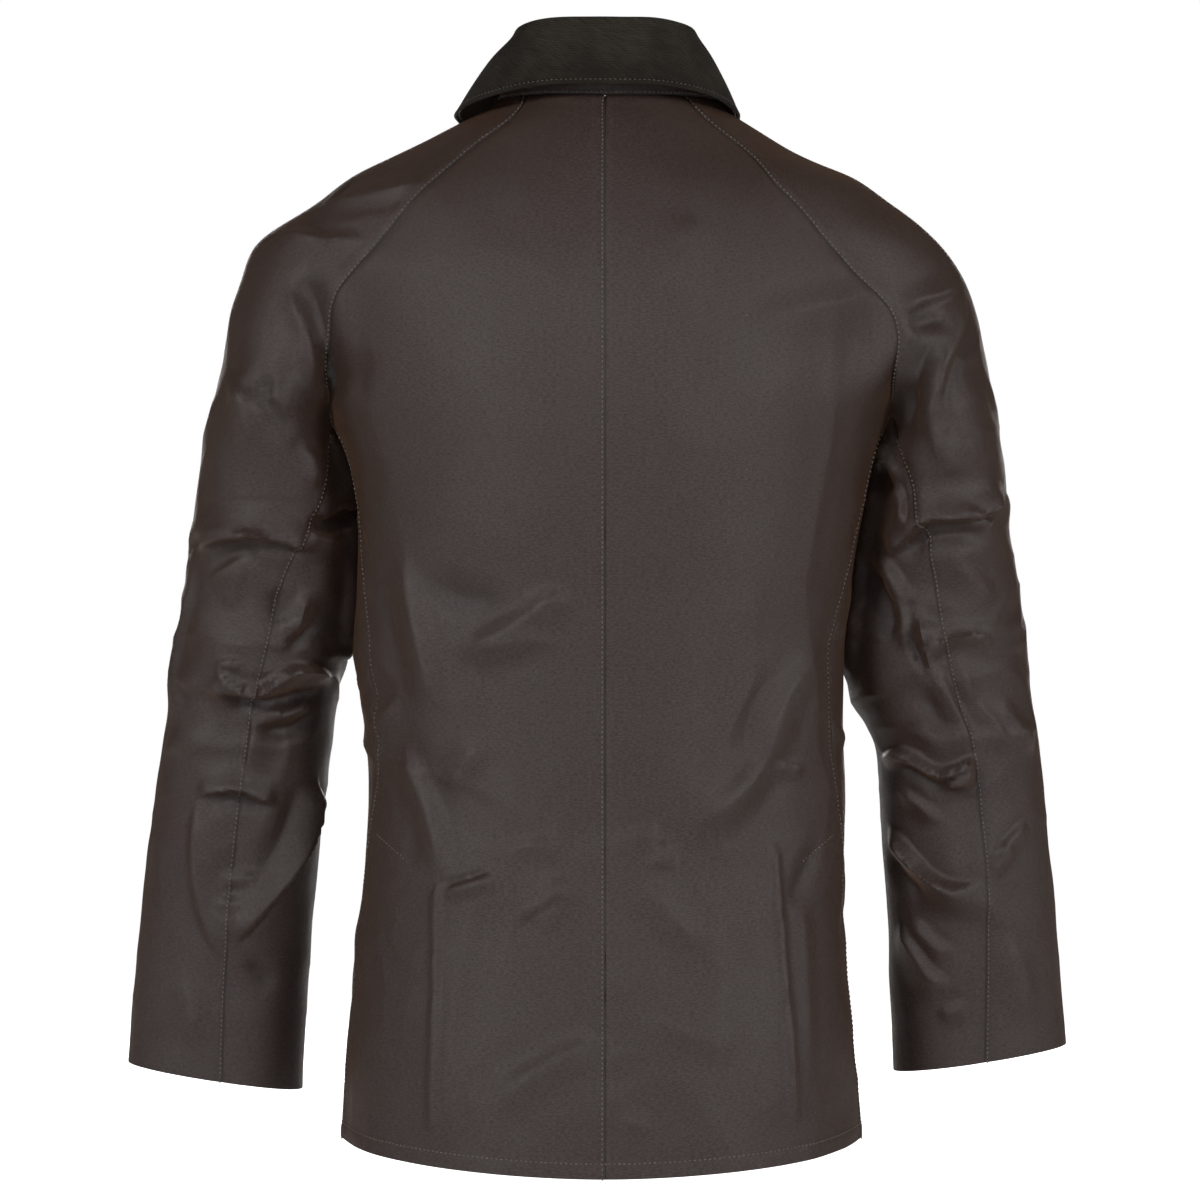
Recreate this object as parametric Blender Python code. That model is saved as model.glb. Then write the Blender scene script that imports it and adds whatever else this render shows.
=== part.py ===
"""Waxed cotton jacket, as it hangs on a wearer who isn't there.

Two back panels, two fronts, two raglan sleeves, a corduroy collar over its under collar, two side vents and a
front zip. Each cut piece is one cloth wall, and neighbours stand a seam gap apart.

The wearer faces -Y, +X is the wearer's left and +Z is up. The origin is inside the neck opening, level with the
neck seam at the centre back. Lengths are in metres and angles in degrees.

The worn form is made of horizontal sections: one stack for the torso with its shoulders, and one for each arm.
A panel is a grid of rows and columns that is cast onto that form from inside. Folds then move the grid along its
normals, and a wall is raised on it.
"""

import math

import bmesh
import bpy
import numpy as np
from mathutils import Matrix

# ---------------------------------------------------------------- driving sizes
BACK_LENGTH = 0.742  # neck seam to hem at the centre back
HEM_SIDE_Z = -0.7255  # back hem at the side seams
FRONT_HEM_Z = -0.722
FRONT_SHORT = 0.006  # how much shorter the fronts are at the vents
HEM_CURVE = 1.8  # the hem rises with this power of the distance from the centre
CLOTH = 0.0015  # thickness of waxed cotton with its seam allowances
CORDUROY = 0.0015
UNDER_CLOTH = 0.0012
SEAM_GAP = 0.0003
VENT_TOP_Z = -0.523
VENT_LAP = 0.028  # how far the underlap reaches behind the back panel
VENT_TUCK = 0.012  # how far it reaches behind the front panel
VENT_FLARE = 0.0045  # how far the back panel's free edge stands off at the hem

NECK_HALF_WIDTH = 0.075
NECK_BACK = 0.068
NECK_FRONT = 0.086
BACK_CORNER = 47.0  # where the raglan seams meet the neck seam, turned from the centre back
FRONT_CORNER = 117.0

UNDERARM_Z = -0.218
UNDERARM_Y = 0.018  # the seams meet here, behind the side line
UNDERARM_DIP = 0.016  # the sleeve's rows dip under the armhole, from this turn in radians on
DIP_FROM = 1.8
FRONT_UNDERARM = (-0.015, UNDERARM_Y)  # the front seam runs back along the parting of arm and torso
ARMPIT_BLEND = 0.026  # radius of the fillet between the arm and the torso forms
BLEND_RISE = 0.05  # height above the underarm over which that fillet comes in
CUFF_TILT = 9.0  # the cuff and the sleeve's rows are square to the arm

# Torso: half widths on the wearer's left and right, depths behind and before the side line, squareness.
TORSO = [
    # z, left, right, back, front, squareness
    (0.030, 0.0600, 0.0600, 0.060, 0.052, 2.00),
    (0.008, 0.0680, 0.0680, 0.0645, 0.056, 2.00),
    (0.000, 0.0780, 0.0770, 0.0680, 0.058, 2.00),
    (-0.016, 0.1080, 0.1030, 0.0790, 0.062, 2.00),
    (-0.030, 0.1341, 0.1243, 0.0870, 0.066, 2.00),
    (-0.045, 0.1645, 0.1560, 0.0950, 0.071, 2.00),
    (-0.060, 0.1895, 0.1870, 0.1020, 0.077, 2.05),
    (-0.075, 0.2070, 0.2040, 0.1080, 0.083, 2.10),
    (-0.090, 0.2160, 0.2140, 0.1130, 0.090, 2.15),
    (-0.115, 0.2160, 0.2160, 0.1200, 0.102, 2.20),
    (-0.145, 0.2100, 0.2130, 0.1250, 0.115, 2.20),
    (-0.185, 0.2010, 0.2060, 0.1280, 0.127, 2.20),
    (-0.218, 0.1930, 0.1990, 0.1290, 0.134, 2.20),
    (-0.260, 0.1800, 0.1880, 0.1270, 0.137, 2.20),
    (-0.300, 0.1745, 0.1800, 0.1230, 0.138, 2.20),
    (-0.340, 0.1750, 0.1740, 0.1180, 0.138, 2.15),
    (-0.380, 0.1770, 0.1695, 0.1140, 0.137, 2.10),
    (-0.420, 0.1735, 0.1685, 0.1100, 0.136, 2.10),
    (-0.475, 0.1666, 0.1690, 0.1080, 0.136, 2.10),
    (-0.560, 0.1705, 0.1680, 0.1130, 0.139, 2.20),
    (-0.650, 0.1785, 0.1710, 0.1240, 0.144, 2.30),
    (-0.700, 0.1815, 0.1745, 0.1310, 0.147, 2.30),
    (-0.780, 0.1850, 0.1770, 0.1380, 0.150, 2.30),
]
# Arms: outer and inner edge of the horizontal section, its middle along Y and its half depth.
LEFT_ARM = [
    # z, outer, inner, y, half_depth
    (-0.070, 0.1800, 0.1450, -0.004, 0.020),
    (-0.085, 0.2270, 0.1300, -0.005, 0.050),
    (-0.100, 0.2470, 0.1200, -0.006, 0.065),
    (-0.117, 0.2545, 0.1220, -0.008, 0.073),
    (-0.145, 0.2645, 0.1320, -0.010, 0.079),
    (-0.185, 0.2708, 0.1580, -0.013, 0.083),
    (-0.218, 0.2785, 0.1935, -0.017, 0.083),
    (-0.260, 0.2875, 0.1815, -0.026, 0.080),
    (-0.300, 0.2950, 0.1760, -0.034, 0.076),
    (-0.340, 0.3000, 0.1765, -0.040, 0.073),
    (-0.380, 0.3060, 0.1797, -0.044, 0.069),
    (-0.405, 0.3105, 0.1885, -0.047, 0.066),
    (-0.450, 0.3170, 0.1955, -0.051, 0.062),
    (-0.510, 0.3254, 0.2033, -0.056, 0.058),
    (-0.560, 0.3316, 0.2086, -0.060, 0.054),
    (-0.620, 0.3385, 0.2132, -0.064, 0.050),
    (-0.680, 0.3430, 0.2170, -0.067, 0.047),
    (-0.740, 0.3460, 0.2200, -0.070, 0.045),
]
RIGHT_ARM = [
    # z, outer, inner, y, half_depth
    (-0.070, 0.1780, 0.1450, -0.004, 0.020),
    (-0.085, 0.2170, 0.1300, -0.005, 0.050),
    (-0.100, 0.2365, 0.1200, -0.006, 0.065),
    (-0.117, 0.2500, 0.1220, -0.008, 0.073),
    (-0.145, 0.2613, 0.1340, -0.010, 0.079),
    (-0.185, 0.2708, 0.1620, -0.013, 0.083),
    (-0.218, 0.2765, 0.1995, -0.017, 0.083),
    (-0.260, 0.2850, 0.1895, -0.026, 0.080),
    (-0.300, 0.2880, 0.1815, -0.034, 0.076),
    (-0.340, 0.2952, 0.1756, -0.040, 0.073),
    (-0.380, 0.3013, 0.1716, -0.044, 0.070),
    (-0.420, 0.3067, 0.1775, -0.048, 0.067),
    (-0.450, 0.3113, 0.1925, -0.051, 0.063),
    (-0.480, 0.3150, 0.1965, -0.054, 0.060),
    (-0.540, 0.3206, 0.1998, -0.058, 0.056),
    (-0.600, 0.3260, 0.2044, -0.062, 0.052),
    (-0.660, 0.3307, 0.2068, -0.066, 0.048),
    (-0.740, 0.3350, 0.2100, -0.069, 0.046),
]
CUFF_Z = {1: -0.6915, -1: -0.6785}  # height of the cuff on the arm's own middle line

# Raglan seams, from just under the neck seam to just over the underarm: distance from the middle, and height.
RAGLAN_BACK = {
    1: [(0.067, -0.019), (0.087, -0.032), (0.105, -0.049), (0.118, -0.061), (0.138, -0.082), (0.153, -0.102),
        (0.167, -0.117), (0.181, -0.133), (0.187, -0.143), (0.190, -0.156), (0.191, -0.184)],
    -1: [(0.069, -0.015), (0.083, -0.027), (0.093, -0.036), (0.103, -0.046), (0.113, -0.059), (0.132, -0.079),
         (0.152, -0.103), (0.169, -0.122), (0.187, -0.140), (0.197, -0.151), (0.2025, -0.164), (0.199, -0.192)],
}
RAGLAN_FRONT = [(0.084, -0.052), (0.102, -0.080), (0.122, -0.106), (0.145, -0.131), (0.165, -0.152),
                (0.181, -0.172), (0.190, -0.193)]
# Side seam: height, and how far behind the side line it runs.
SIDE_SEAM = [(-0.218, 0.018), (-0.260, 0.020), (-0.300, 0.025), (-0.350, 0.036), (-0.390, 0.043),
             (-0.435, 0.042), (-0.476, 0.032), (-0.510, 0.022), (-0.550, 0.015), (-0.600, 0.014),
             (-0.650, 0.018), (-0.760, 0.022)]
# Sleeve seam below the underarm: height, and turn round the arm from its outer edge towards the back.
SLEEVE_SEAM = {
    1: [(-0.218, 143.0), (-0.243, 134.0), (-0.274, 122.0), (-0.297, 112.0), (-0.316, 105.0),
        (-0.350, 98.0), (-0.400, 95.5), (-0.500, 95.0), (-0.580, 96.5), (-0.700, 101.0)],
    -1: [(-0.218, 136.0), (-0.242, 119.0), (-0.264, 110.0), (-0.300, 99.5), (-0.353, 92.5),
         (-0.400, 87.0), (-0.450, 85.5), (-0.500, 83.0), (-0.540, 81.5), (-0.600, 84.5), (-0.700, 91.0)],
}

# The raglan rows turn from the neck to the arm about these points, (distance from the middle, height).
SHOULDER_PATH = [(0.045, -0.085), (0.120, -0.105), (0.212, -0.128), (0.234, -0.218)]
SHOULDER_TURN = (72.0, CUFF_TILT)  # direction of a row's top, from along the shoulder to square to the arm

# Grid counts.
SIDE_ROWS = 22
RAGLAN_ROWS = 13
TUBE_ROWS = 19
BACK_COLUMNS = 10
FRONT_COLUMNS = 8
SLEEVE_COLUMNS = 18
COLLAR_STATIONS = 34

# Folds: which form carries it, the side it shows on, its two ends (x, z), its bow sideways, half width, height
# (below 0 for a trough) and lean (above 0 makes the flank on the left of its run the steeper one).
FOLDS = [
    # form, side, x0, z0, x1, z1, bow, half_width, height, lean
    ("torso", 1, 0.128, -0.340, 0.112, -0.470, 0.004, 0.020, 0.0040, 0.2),
    ("torso", 1, 0.112, -0.470, 0.122, -0.730, 0.000, 0.020, 0.0035, 0.3),
    ("torso", 1, 0.120, -0.552, 0.055, -0.535, 0.004, 0.020, 0.0030, 0.3),
    ("torso", 1, 0.120, -0.350, 0.050, -0.350, -0.006, 0.022, -0.0030, 0.0),
    ("torso", 1, -0.118, -0.520, -0.128, -0.730, 0.000, 0.020, 0.0035, -0.3),
    ("torso", 1, -0.155, -0.395, -0.112, -0.470, 0.006, 0.022, 0.0045, 0.3),
    ("torso", 1, -0.112, -0.470, -0.045, -0.515, 0.008, 0.020, 0.0040, 0.3),
    ("torso", -1, 0.120, -0.380, 0.060, -0.430, 0.006, 0.022, 0.0040, 0.3),
    ("torso", -1, -0.125, -0.400, -0.060, -0.460, 0.006, 0.022, 0.0040, 0.3),
    ("left", 1, 0.300, -0.395, 0.205, -0.405, -0.010, 0.019, 0.0055, 0.3),
    ("left", 1, 0.285, -0.440, 0.220, -0.455, -0.006, 0.019, -0.0045, 0.0),
    ("left", 1, 0.290, -0.310, 0.205, -0.322, -0.008, 0.019, 0.0045, 0.3),
    ("left", 1, 0.220, -0.540, 0.270, -0.610, 0.006, 0.020, 0.0045, 0.3),
    ("left", -1, 0.310, -0.400, 0.225, -0.392, -0.008, 0.019, 0.0050, 0.3),
    ("left", -1, 0.300, -0.445, 0.225, -0.452, 0.008, 0.019, -0.0045, 0.0),
    ("right", 1, -0.205, -0.312, -0.285, -0.292, 0.008, 0.019, 0.0055, 0.3),
    ("right", 1, -0.205, -0.430, -0.275, -0.478, 0.006, 0.019, 0.0050, 0.3),
    ("right", 1, -0.225, -0.545, -0.285, -0.535, 0.010, 0.019, 0.0045, 0.3),
    ("right", -1, -0.305, -0.405, -0.220, -0.395, 0.008, 0.019, 0.0050, 0.3),
    ("right", -1, -0.295, -0.448, -0.220, -0.455, -0.008, 0.019, -0.0045, 0.0),
]
FOLD_POINTS = 7
LOWER = np.array([0.0, 0.4, 1.0])  # seam points are ordered along this direction

# Collar, turned from the centre back: stand height, inward lean of its roll, how far its direction is swung back
# towards the nape, then the fall's edge: how far out from the neck seam on the left and right, and its height.
COLLAR = [
    # angle, stand, lean, swing, left_out, right_out, edge_rise
    (0.0, 0.0475, 0.0080, 0.0, 0.0190, 0.0190, 0.0048),
    (25.0, 0.0470, 0.0090, 0.0, 0.0205, 0.0195, 0.0040),
    (50.0, 0.0455, 0.0135, 0.0, 0.0260, 0.0215, -0.0020),
    (70.0, 0.0440, 0.0180, 0.0, 0.0300, 0.0200, -0.0080),
    (90.0, 0.0420, 0.0215, 0.0, 0.0300, 0.0190, -0.0110),
    (110.0, 0.0400, 0.0190, 0.0, 0.0310, 0.0230, -0.0110),
    (130.0, 0.0370, 0.0140, 0.0, 0.0320, 0.0280, -0.0120),
    (150.0, 0.0330, 0.0070, 0.0, 0.0320, 0.0310, -0.0160),
    (171.0, 0.0290, 0.0050, 0.0, 0.0320, 0.0320, -0.0240),
]
COLLAR_LIFT = 0.0008  # clearance of the collar's foot over the neck seam
ROLL_RADIUS = 0.0050
STAND_STEPS, ROLL_STEPS, FALL_STEPS = 3, 4, 4
FALL_BELLY = 0.0015
UNDER_SHORT = 0.85  # the under collar stops short of the collar's edge, in shares of the last step

# Zip.
ZIP_HALF_GAP = 0.0065  # front edges to the centre front
TAPE_OUTER = 0.016
TAPE_INNER = 0.0026
TAPE_THICK = 0.0010
CHAIN_HALF = 0.0023
CHAIN_THICK = 0.0022
SLIDER_WIDTH, SLIDER_LENGTH, SLIDER_DEPTH = 0.0090, 0.0125, 0.0022
ARCH_WIDTH, ARCH_LENGTH, ARCH_HEIGHT, ARCH_BAR = 0.0022, 0.0088, 0.0036, 0.0013
PULL_WIDTH, PULL_LENGTH, PULL_THICK, PULL_BAR = 0.0075, 0.0280, 0.0014, 0.0014
PULL_EYE_HALF = 0.0014  # half width of the gap that straddles the arch
PULL_EYE_DROP = 0.0062  # length of that gap below the pivot
SLIDER_DROP = 0.012  # slider's middle below the top of the zip
ZIP_TOP_SHORT = 0.12  # the tapes stop short of the neck and hem, in shares of a row
BOX_LENGTH, BOX_HALF, BOX_DEPTH = 0.012, 0.0022, 0.0034
POST_WIDTH = 0.0030

COLOURS = {
    # linear red, green, blue, then roughness and metallic
    "waxed_cotton": (0.058, 0.046, 0.042, 0.52, 0.0),
    "corduroy": (0.021, 0.018, 0.015, 0.90, 0.0),
    "zip_tape": (0.020, 0.017, 0.015, 0.85, 0.0),
    "brass": (0.300, 0.210, 0.100, 0.38, 1.0),
}


# ---------------------------------------------------------------- tables and curves
def smooth(table, column, at):
    """Column of a table at the keys `at`, as a cubic through its rows that doesn't overshoot."""
    rows = sorted(table)
    keys = np.array([row[0] for row in rows], float)
    values = np.array([row[column] for row in rows], float)
    steps = np.diff(values) / np.diff(keys)
    slopes = np.concatenate([[steps[0]], (steps[1:] + steps[:-1]) / 2, [steps[-1]]])
    slopes[1:-1][steps[1:] * steps[:-1] <= 0] = 0.0
    at = np.clip(np.asarray(at, float), keys[0], keys[-1])
    i = np.clip(np.searchsorted(keys, at) - 1, 0, len(steps) - 1)
    width = keys[i + 1] - keys[i]
    t = (at - keys[i]) / width
    rest = 1 - t
    return (
        values[i] * (1 + 2 * t) * rest**2
        + values[i + 1] * (1 + 2 * rest) * t**2
        + slopes[i] * width * t * rest**2
        - slopes[i + 1] * width * rest * t**2
    )


def ease(t):
    t = np.clip(t, 0.0, 1.0)
    return t * t * (3 - 2 * t)


def lengths_along(points):
    """Distance run along each row of points, starting at 0."""
    steps = np.linalg.norm(np.diff(points, axis=-2), axis=-1)
    start = np.zeros(steps.shape[:-1] + (1,))
    return np.concatenate([start, np.cumsum(steps, axis=-1)], axis=-1)


def spread(points, count):
    """The polyline's points, count of them at even distances."""
    run = lengths_along(points)
    at = np.linspace(0, run[-1], count)
    return np.stack([np.interp(at, run, points[:, k]) for k in range(3)], axis=-1)


def through(points, count):
    """A smooth curve through the points, as count points at even distances."""
    points = np.asarray(points, float)
    run = lengths_along(points)
    fine = np.linspace(0, run[-1], 12 * len(points))
    columns = [smooth([(r, p[k]) for r, p in zip(run, points)], 1, fine) for k in range(3)]
    return spread(np.stack(columns, axis=-1), count)


# ---------------------------------------------------------------- the worn form
def section_gap(x, y, half_x, half_y, squareness):
    """Horizontal distance outside a rounded section; negative inside."""
    share = (np.abs(x / half_x) ** squareness + np.abs(y / half_y) ** squareness) ** (1 / squareness)
    share = np.maximum(share, 1e-6)
    return np.hypot(x, y) * (1 - 1 / share)


def torso_gap(p):
    x, y, z = p[..., 0], p[..., 1], p[..., 2]
    half_x = np.where(x > 0, smooth(TORSO, 1, z), smooth(TORSO, 2, z))
    half_y = np.where(y > 0, smooth(TORSO, 3, z), smooth(TORSO, 4, z))
    return section_gap(x, y, half_x, half_y, smooth(TORSO, 5, z))


def arm_table(side):
    return LEFT_ARM if side > 0 else RIGHT_ARM


def arm_gap(p, side):
    table, z = arm_table(side), p[..., 2]
    outer, inner = smooth(table, 1, z), smooth(table, 2, z)
    x = p[..., 0] * side - (outer + inner) / 2
    gap = section_gap(x, p[..., 1] - smooth(table, 3, z), (outer - inner) / 2, smooth(table, 4, z), 2.15)
    return gap + np.maximum(0.0, z - table[0][0])  # the form ends above its first row


def blend_radius(z):
    return np.maximum(ARMPIT_BLEND * ease((z - UNDERARM_Z) / BLEND_RISE), 1e-5)


def form_gap(p, side):
    """Both forms with a fillet between them, which comes in above the underarm."""
    torso, arm = torso_gap(p), arm_gap(p, side)
    radius = blend_radius(p[..., 2])
    h = np.clip(0.5 + 0.5 * (arm - torso) / radius, 0, 1)
    return arm * (1 - h) + torso * h - radius * h * (1 - h)


def cast(origin, direction, gap, reach=0.34, steps=90):
    """Where a ray from inside first leaves the form that gap describes."""
    origin, direction = np.broadcast_arrays(np.asarray(origin, float), np.asarray(direction, float))
    at = np.linspace(0, reach, steps)
    samples = gap(origin[..., None, :] + direction[..., None, :] * at[:, None])
    samples[..., -1] = 1.0
    first = np.maximum(np.argmax(samples > 0, axis=-1), 1)
    low, high = at[first - 1], at[first]
    for _ in range(18):
        middle = (low + high) / 2
        outside = gap(origin + direction * middle[..., None]) > 0
        high = np.where(outside, middle, high)
        low = np.where(outside, low, middle)
    return origin + direction * ((low + high) / 2)[..., None]


def neck_seam(turn):
    """Points of the neck seam, turned in degrees from the centre back towards +X."""
    turn = np.radians(np.asarray(turn, float))
    x = NECK_HALF_WIDTH * np.sin(turn)
    y = np.where(np.cos(turn) > 0, NECK_BACK, NECK_FRONT) * np.cos(turn)
    origin = np.stack([x, y, np.full_like(x, -0.22)], axis=-1)
    return cast(origin, (0, 0, 1), torso_gap)


def under_arm(side, y):
    """Point midway between torso and arm where they part, at this y."""
    torso = cast((0, y, UNDERARM_Z), (side, 0, 0), torso_gap)
    middle = side * (smooth(arm_table(side), 1, UNDERARM_Z) + smooth(arm_table(side), 2, UNDERARM_Z)) / 2
    arm = cast((middle, y, UNDERARM_Z), (-side, 0, 0), lambda p: arm_gap(p, side))
    return np.array([(torso[0] + arm[0]) / 2, y, UNDERARM_Z])


def raglan_seam(side, behind, count):
    """A raglan seam from the neck to the underarm. behind is 1 for the back seam and -1 for the front one."""
    rows = RAGLAN_BACK[side] if behind > 0 else RAGLAN_FRONT
    origin = np.array([(x * side, -0.01, z) for x, z in rows])
    on_form = cast(origin, (0, behind, 0), lambda p: form_gap(p, side))
    corner = neck_seam(side * (BACK_CORNER if behind > 0 else FRONT_CORNER))
    under = [under_arm(side, UNDERARM_Y)] if behind > 0 else [under_arm(side, y) for y in FRONT_UNDERARM]
    return through(np.vstack([corner, on_form, *under]), count)


def side_seam(side, levels):
    """Side seam points at these heights, from the hem up to just under the underarm."""
    y = smooth(SIDE_SEAM, 1, levels)
    origin = np.stack([np.zeros_like(y), y, levels], axis=-1)
    return cast(origin, (side, 0, 0), torso_gap)


# ---------------------------------------------------------------- panels as grids
def even_columns(points_at, start, end, columns):
    """Angles for the columns of each row, so that their points stand at even distances."""
    share = np.linspace(0, 1, 41)
    dense = start[:, None] + (end - start)[:, None] * share
    run = lengths_along(points_at(dense))
    wanted = run[:, -1:] * np.linspace(0, 1, columns + 1)
    shares = np.stack([np.interp(w, r, share) for w, r in zip(wanted, run)])
    return start[:, None] + (end - start)[:, None] * shares


def meet(grid, edge, share_from=0.7):
    """Moves the last columns of a grid so that it ends on the edge's points."""
    share = np.linspace(0, 1, grid.shape[1])
    weight = ease((share - share_from) / (1 - share_from))[None, :, None]
    return grid + (edge - grid[:, -1])[:, None, :] * weight


def torso_panel(side, behind, columns):
    """A back or front panel. Row 0 is at the hem and the last row at the neck; column 0 is at the centre."""
    hem_centre = -BACK_LENGTH if behind > 0 else FRONT_HEM_Z
    centre_turn = 0.0 if behind > 0 else 180.0
    neck_centre = neck_seam(centre_turn)[2]
    levels = np.linspace(HEM_SIDE_Z, UNDERARM_Z, SIDE_ROWS + 1)[:-1]
    if behind < 0:
        levels[0] += FRONT_SHORT
    edge = np.vstack([side_seam(side, levels), raglan_seam(side, behind, RAGLAN_ROWS + 1)[::-1]])
    rise = lengths_along(edge)
    rise /= rise[-1]
    centre_z = hem_centre + (neck_centre - hem_centre) * rise
    start = np.full(len(edge), math.radians(centre_turn))
    end = np.arctan2(edge[:, 0] * side, edge[:, 1])

    def height(turn):
        along = (turn - start[:, None]) / (end - start)[:, None]
        level = centre_z[:, None] + (edge[:, 2] - centre_z)[:, None] * along**HEM_CURVE
        neck = neck_seam(side * plan_turn(turn[-1]))[:, 2]
        near_top = np.clip(1 - (1 - rise) / 0.22, 0, 1)[:, None] ** 1.5
        return level + (neck - level[-1])[None, :] * near_top

    def points_at(turn):
        level = height(turn)
        direction = np.stack([side * np.sin(turn), np.cos(turn), np.zeros_like(turn)], axis=-1)
        origin = np.stack([np.zeros_like(turn), np.zeros_like(turn), level], axis=-1)
        below = (edge[:, 2] < UNDERARM_Z + 1e-6)[:, None, None]

        def gap(p):
            near_torso = np.maximum(form_gap(p, side), torso_gap(p) - 0.012)
            return np.where(below if p.ndim == 4 else below[..., 0], torso_gap(p), near_torso)

        return cast(origin, direction, gap)

    turns = even_columns(points_at, start, end, columns)
    return meet(points_at(turns), edge)


def plan_turn(turn):
    """The neck oval's own angle, in degrees, for directions seen from the neck's middle, in radians."""
    y_half = np.where(np.cos(turn) > 0, NECK_BACK, NECK_FRONT)
    return np.degrees(np.arctan2(np.sin(turn) / NECK_HALF_WIDTH, np.cos(turn) / y_half))


def bezier(points, t):
    """A cubic Bezier curve in the XZ plane."""
    p = np.asarray(points, float)
    t = np.asarray(t)[:, None]
    return p[0] * (1 - t) ** 3 + 3 * p[1] * t * (1 - t) ** 2 + 3 * p[2] * t**2 * (1 - t) + p[3] * t**3


def sleeve_panel(side, columns):
    """A raglan sleeve. Row 0 is at the neck and the last at the cuff; column 0 follows the back edge."""
    back = raglan_seam(side, 1, RAGLAN_ROWS + 1)
    front = raglan_seam(side, -1, RAGLAN_ROWS + 1)
    table = arm_table(side)
    t = np.linspace(0, 1, RAGLAN_ROWS + 1)
    levels = np.linspace(UNDERARM_Z, CUFF_Z[side], TUBE_ROWS + 1)[1:]
    path = bezier(SHOULDER_PATH, t)
    tube_x = (smooth(table, 1, levels) + smooth(table, 2, levels)) / 2
    centre = np.concatenate([
        np.stack([path[:, 0], ease(t) * float(smooth(table, 3, UNDERARM_Z)), path[:, 1]], axis=-1),
        np.stack([tube_x, smooth(table, 3, levels), levels], axis=-1),
    ])
    tilt = np.radians(np.concatenate([
        SHOULDER_TURN[0] + (SHOULDER_TURN[1] - SHOULDER_TURN[0]) * ease(t * 0.9 + 0.1 * t**2),
        np.full(TUBE_ROWS, CUFF_TILT),
    ]))
    outward = np.stack([np.cos(tilt), np.zeros_like(tilt), np.sin(tilt)], axis=-1)
    along = np.stack([np.sin(tilt), np.zeros_like(tilt), -np.cos(tilt)], axis=-1)
    mirror = np.array([side, 1, 1])

    def polar(points):
        """Turn round the row's middle, and distance along the sleeve."""
        local = points * mirror - centre[: len(points)]
        across = (local * outward[: len(points)]).sum(-1)
        return np.arctan2(local[:, 1], across), (local * along[: len(points)]).sum(-1)

    back_turn, back_shift = polar(back)
    front_turn, front_shift = polar(front)
    front_turn = np.where(front_turn > 0, front_turn - 2 * np.pi, front_turn)
    front_turn[-1] = back_turn[-1] - 2 * np.pi
    seam_turn = np.radians(smooth(SLEEVE_SEAM[side], 1, levels))
    start = np.concatenate([back_turn, seam_turn])
    end = np.concatenate([front_turn, seam_turn - 2 * np.pi])
    none = np.zeros(TUBE_ROWS)
    start_shift, end_shift = np.concatenate([back_shift, none]), np.concatenate([front_shift, none])
    upper = 0.006 + 1.3 * blend_radius(back[:, 2]) + 0.25 * ease((0.8 - t) / 0.3)
    margin = np.concatenate([upper, np.zeros(TUBE_ROWS)])[:, None]
    tube = np.arange(len(centre)) > RAGLAN_ROWS

    rows = np.arange(len(centre))[:, None]
    dip = UNDERARM_DIP * np.exp(-(((rows - RAGLAN_ROWS) / 2) ** 2))

    def points_at(turn):
        inner = np.clip((turn + DIP_FROM) / (end[:, None] + DIP_FROM), 0, 1)
        shift = dip * np.sin(np.pi * inner) ** 2 + np.where(
            turn > 0,
            start_shift[:, None] * (turn / start[:, None]) ** 2,
            end_shift[:, None] * (turn / end[:, None]) ** 2,
        )
        direction = np.cos(turn)[..., None] * outward[:, None, :] + np.sin(turn)[..., None] * np.array([0, 1, 0])
        origin = centre[:, None, :] + shift[..., None] * along[:, None, :]

        def gap(p):
            is_tube = tube[:, None, None] if p.ndim == 4 else tube[:, None]
            reach = margin[..., None] if p.ndim == 4 else margin
            near_arm = np.maximum(form_gap(p, side), arm_gap(p, side) - reach)
            return np.where(is_tube, arm_gap(p, side), near_arm)

        return cast(origin * mirror, direction * mirror, gap)

    turns = even_columns(points_at, start, end, columns)
    grid = points_at(turns)
    back_edge = np.vstack([back, grid[RAGLAN_ROWS + 1 :, 0]])
    front_edge = np.vstack([front, grid[RAGLAN_ROWS + 1 :, 0]])
    grid = meet(grid, front_edge)
    grid = meet(grid[:, ::-1], back_edge)[:, ::-1]
    corner_turns = np.linspace(BACK_CORNER, FRONT_CORNER, 41)
    neck = spread(neck_seam(side * corner_turns), columns + 1)
    weight = np.clip(1 - np.arange(len(grid)) / 5, 0, 1)[:, None, None] ** 2
    return grid + (neck - grid[0])[None] * weight


# ---------------------------------------------------------------- normals and folds
def grid_normals(grid, outward_sign):
    """Unit normals of a grid of points, pointing out of the jacket."""
    across = np.gradient(grid, axis=1)
    along = np.gradient(grid, axis=0)
    normal = np.cross(across, along) * outward_sign
    return normal / np.maximum(np.linalg.norm(normal, axis=-1, keepdims=True), 1e-12)


def on_border(shape):
    border = np.ones(shape, bool)
    border[1:-1, 1:-1] = False
    return border


def share_normals(grids, normals):
    """Neighbours have the same normal where their edges meet, so that their walls stay a gap apart."""
    sums = {}
    for name, grid in grids.items():
        border = on_border(grid.shape[:2])
        for point, normal in zip(grid[border], normals[name][border]):
            key = tuple(np.round(point, 5))
            sums[key] = sums.get(key, 0) + normal
    for name, grid in grids.items():
        border = on_border(grid.shape[:2])
        found = np.array([sums[tuple(np.round(point, 5))] for point in grid[border]])
        normals[name][border] = found / np.linalg.norm(found, axis=-1, keepdims=True)


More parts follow.
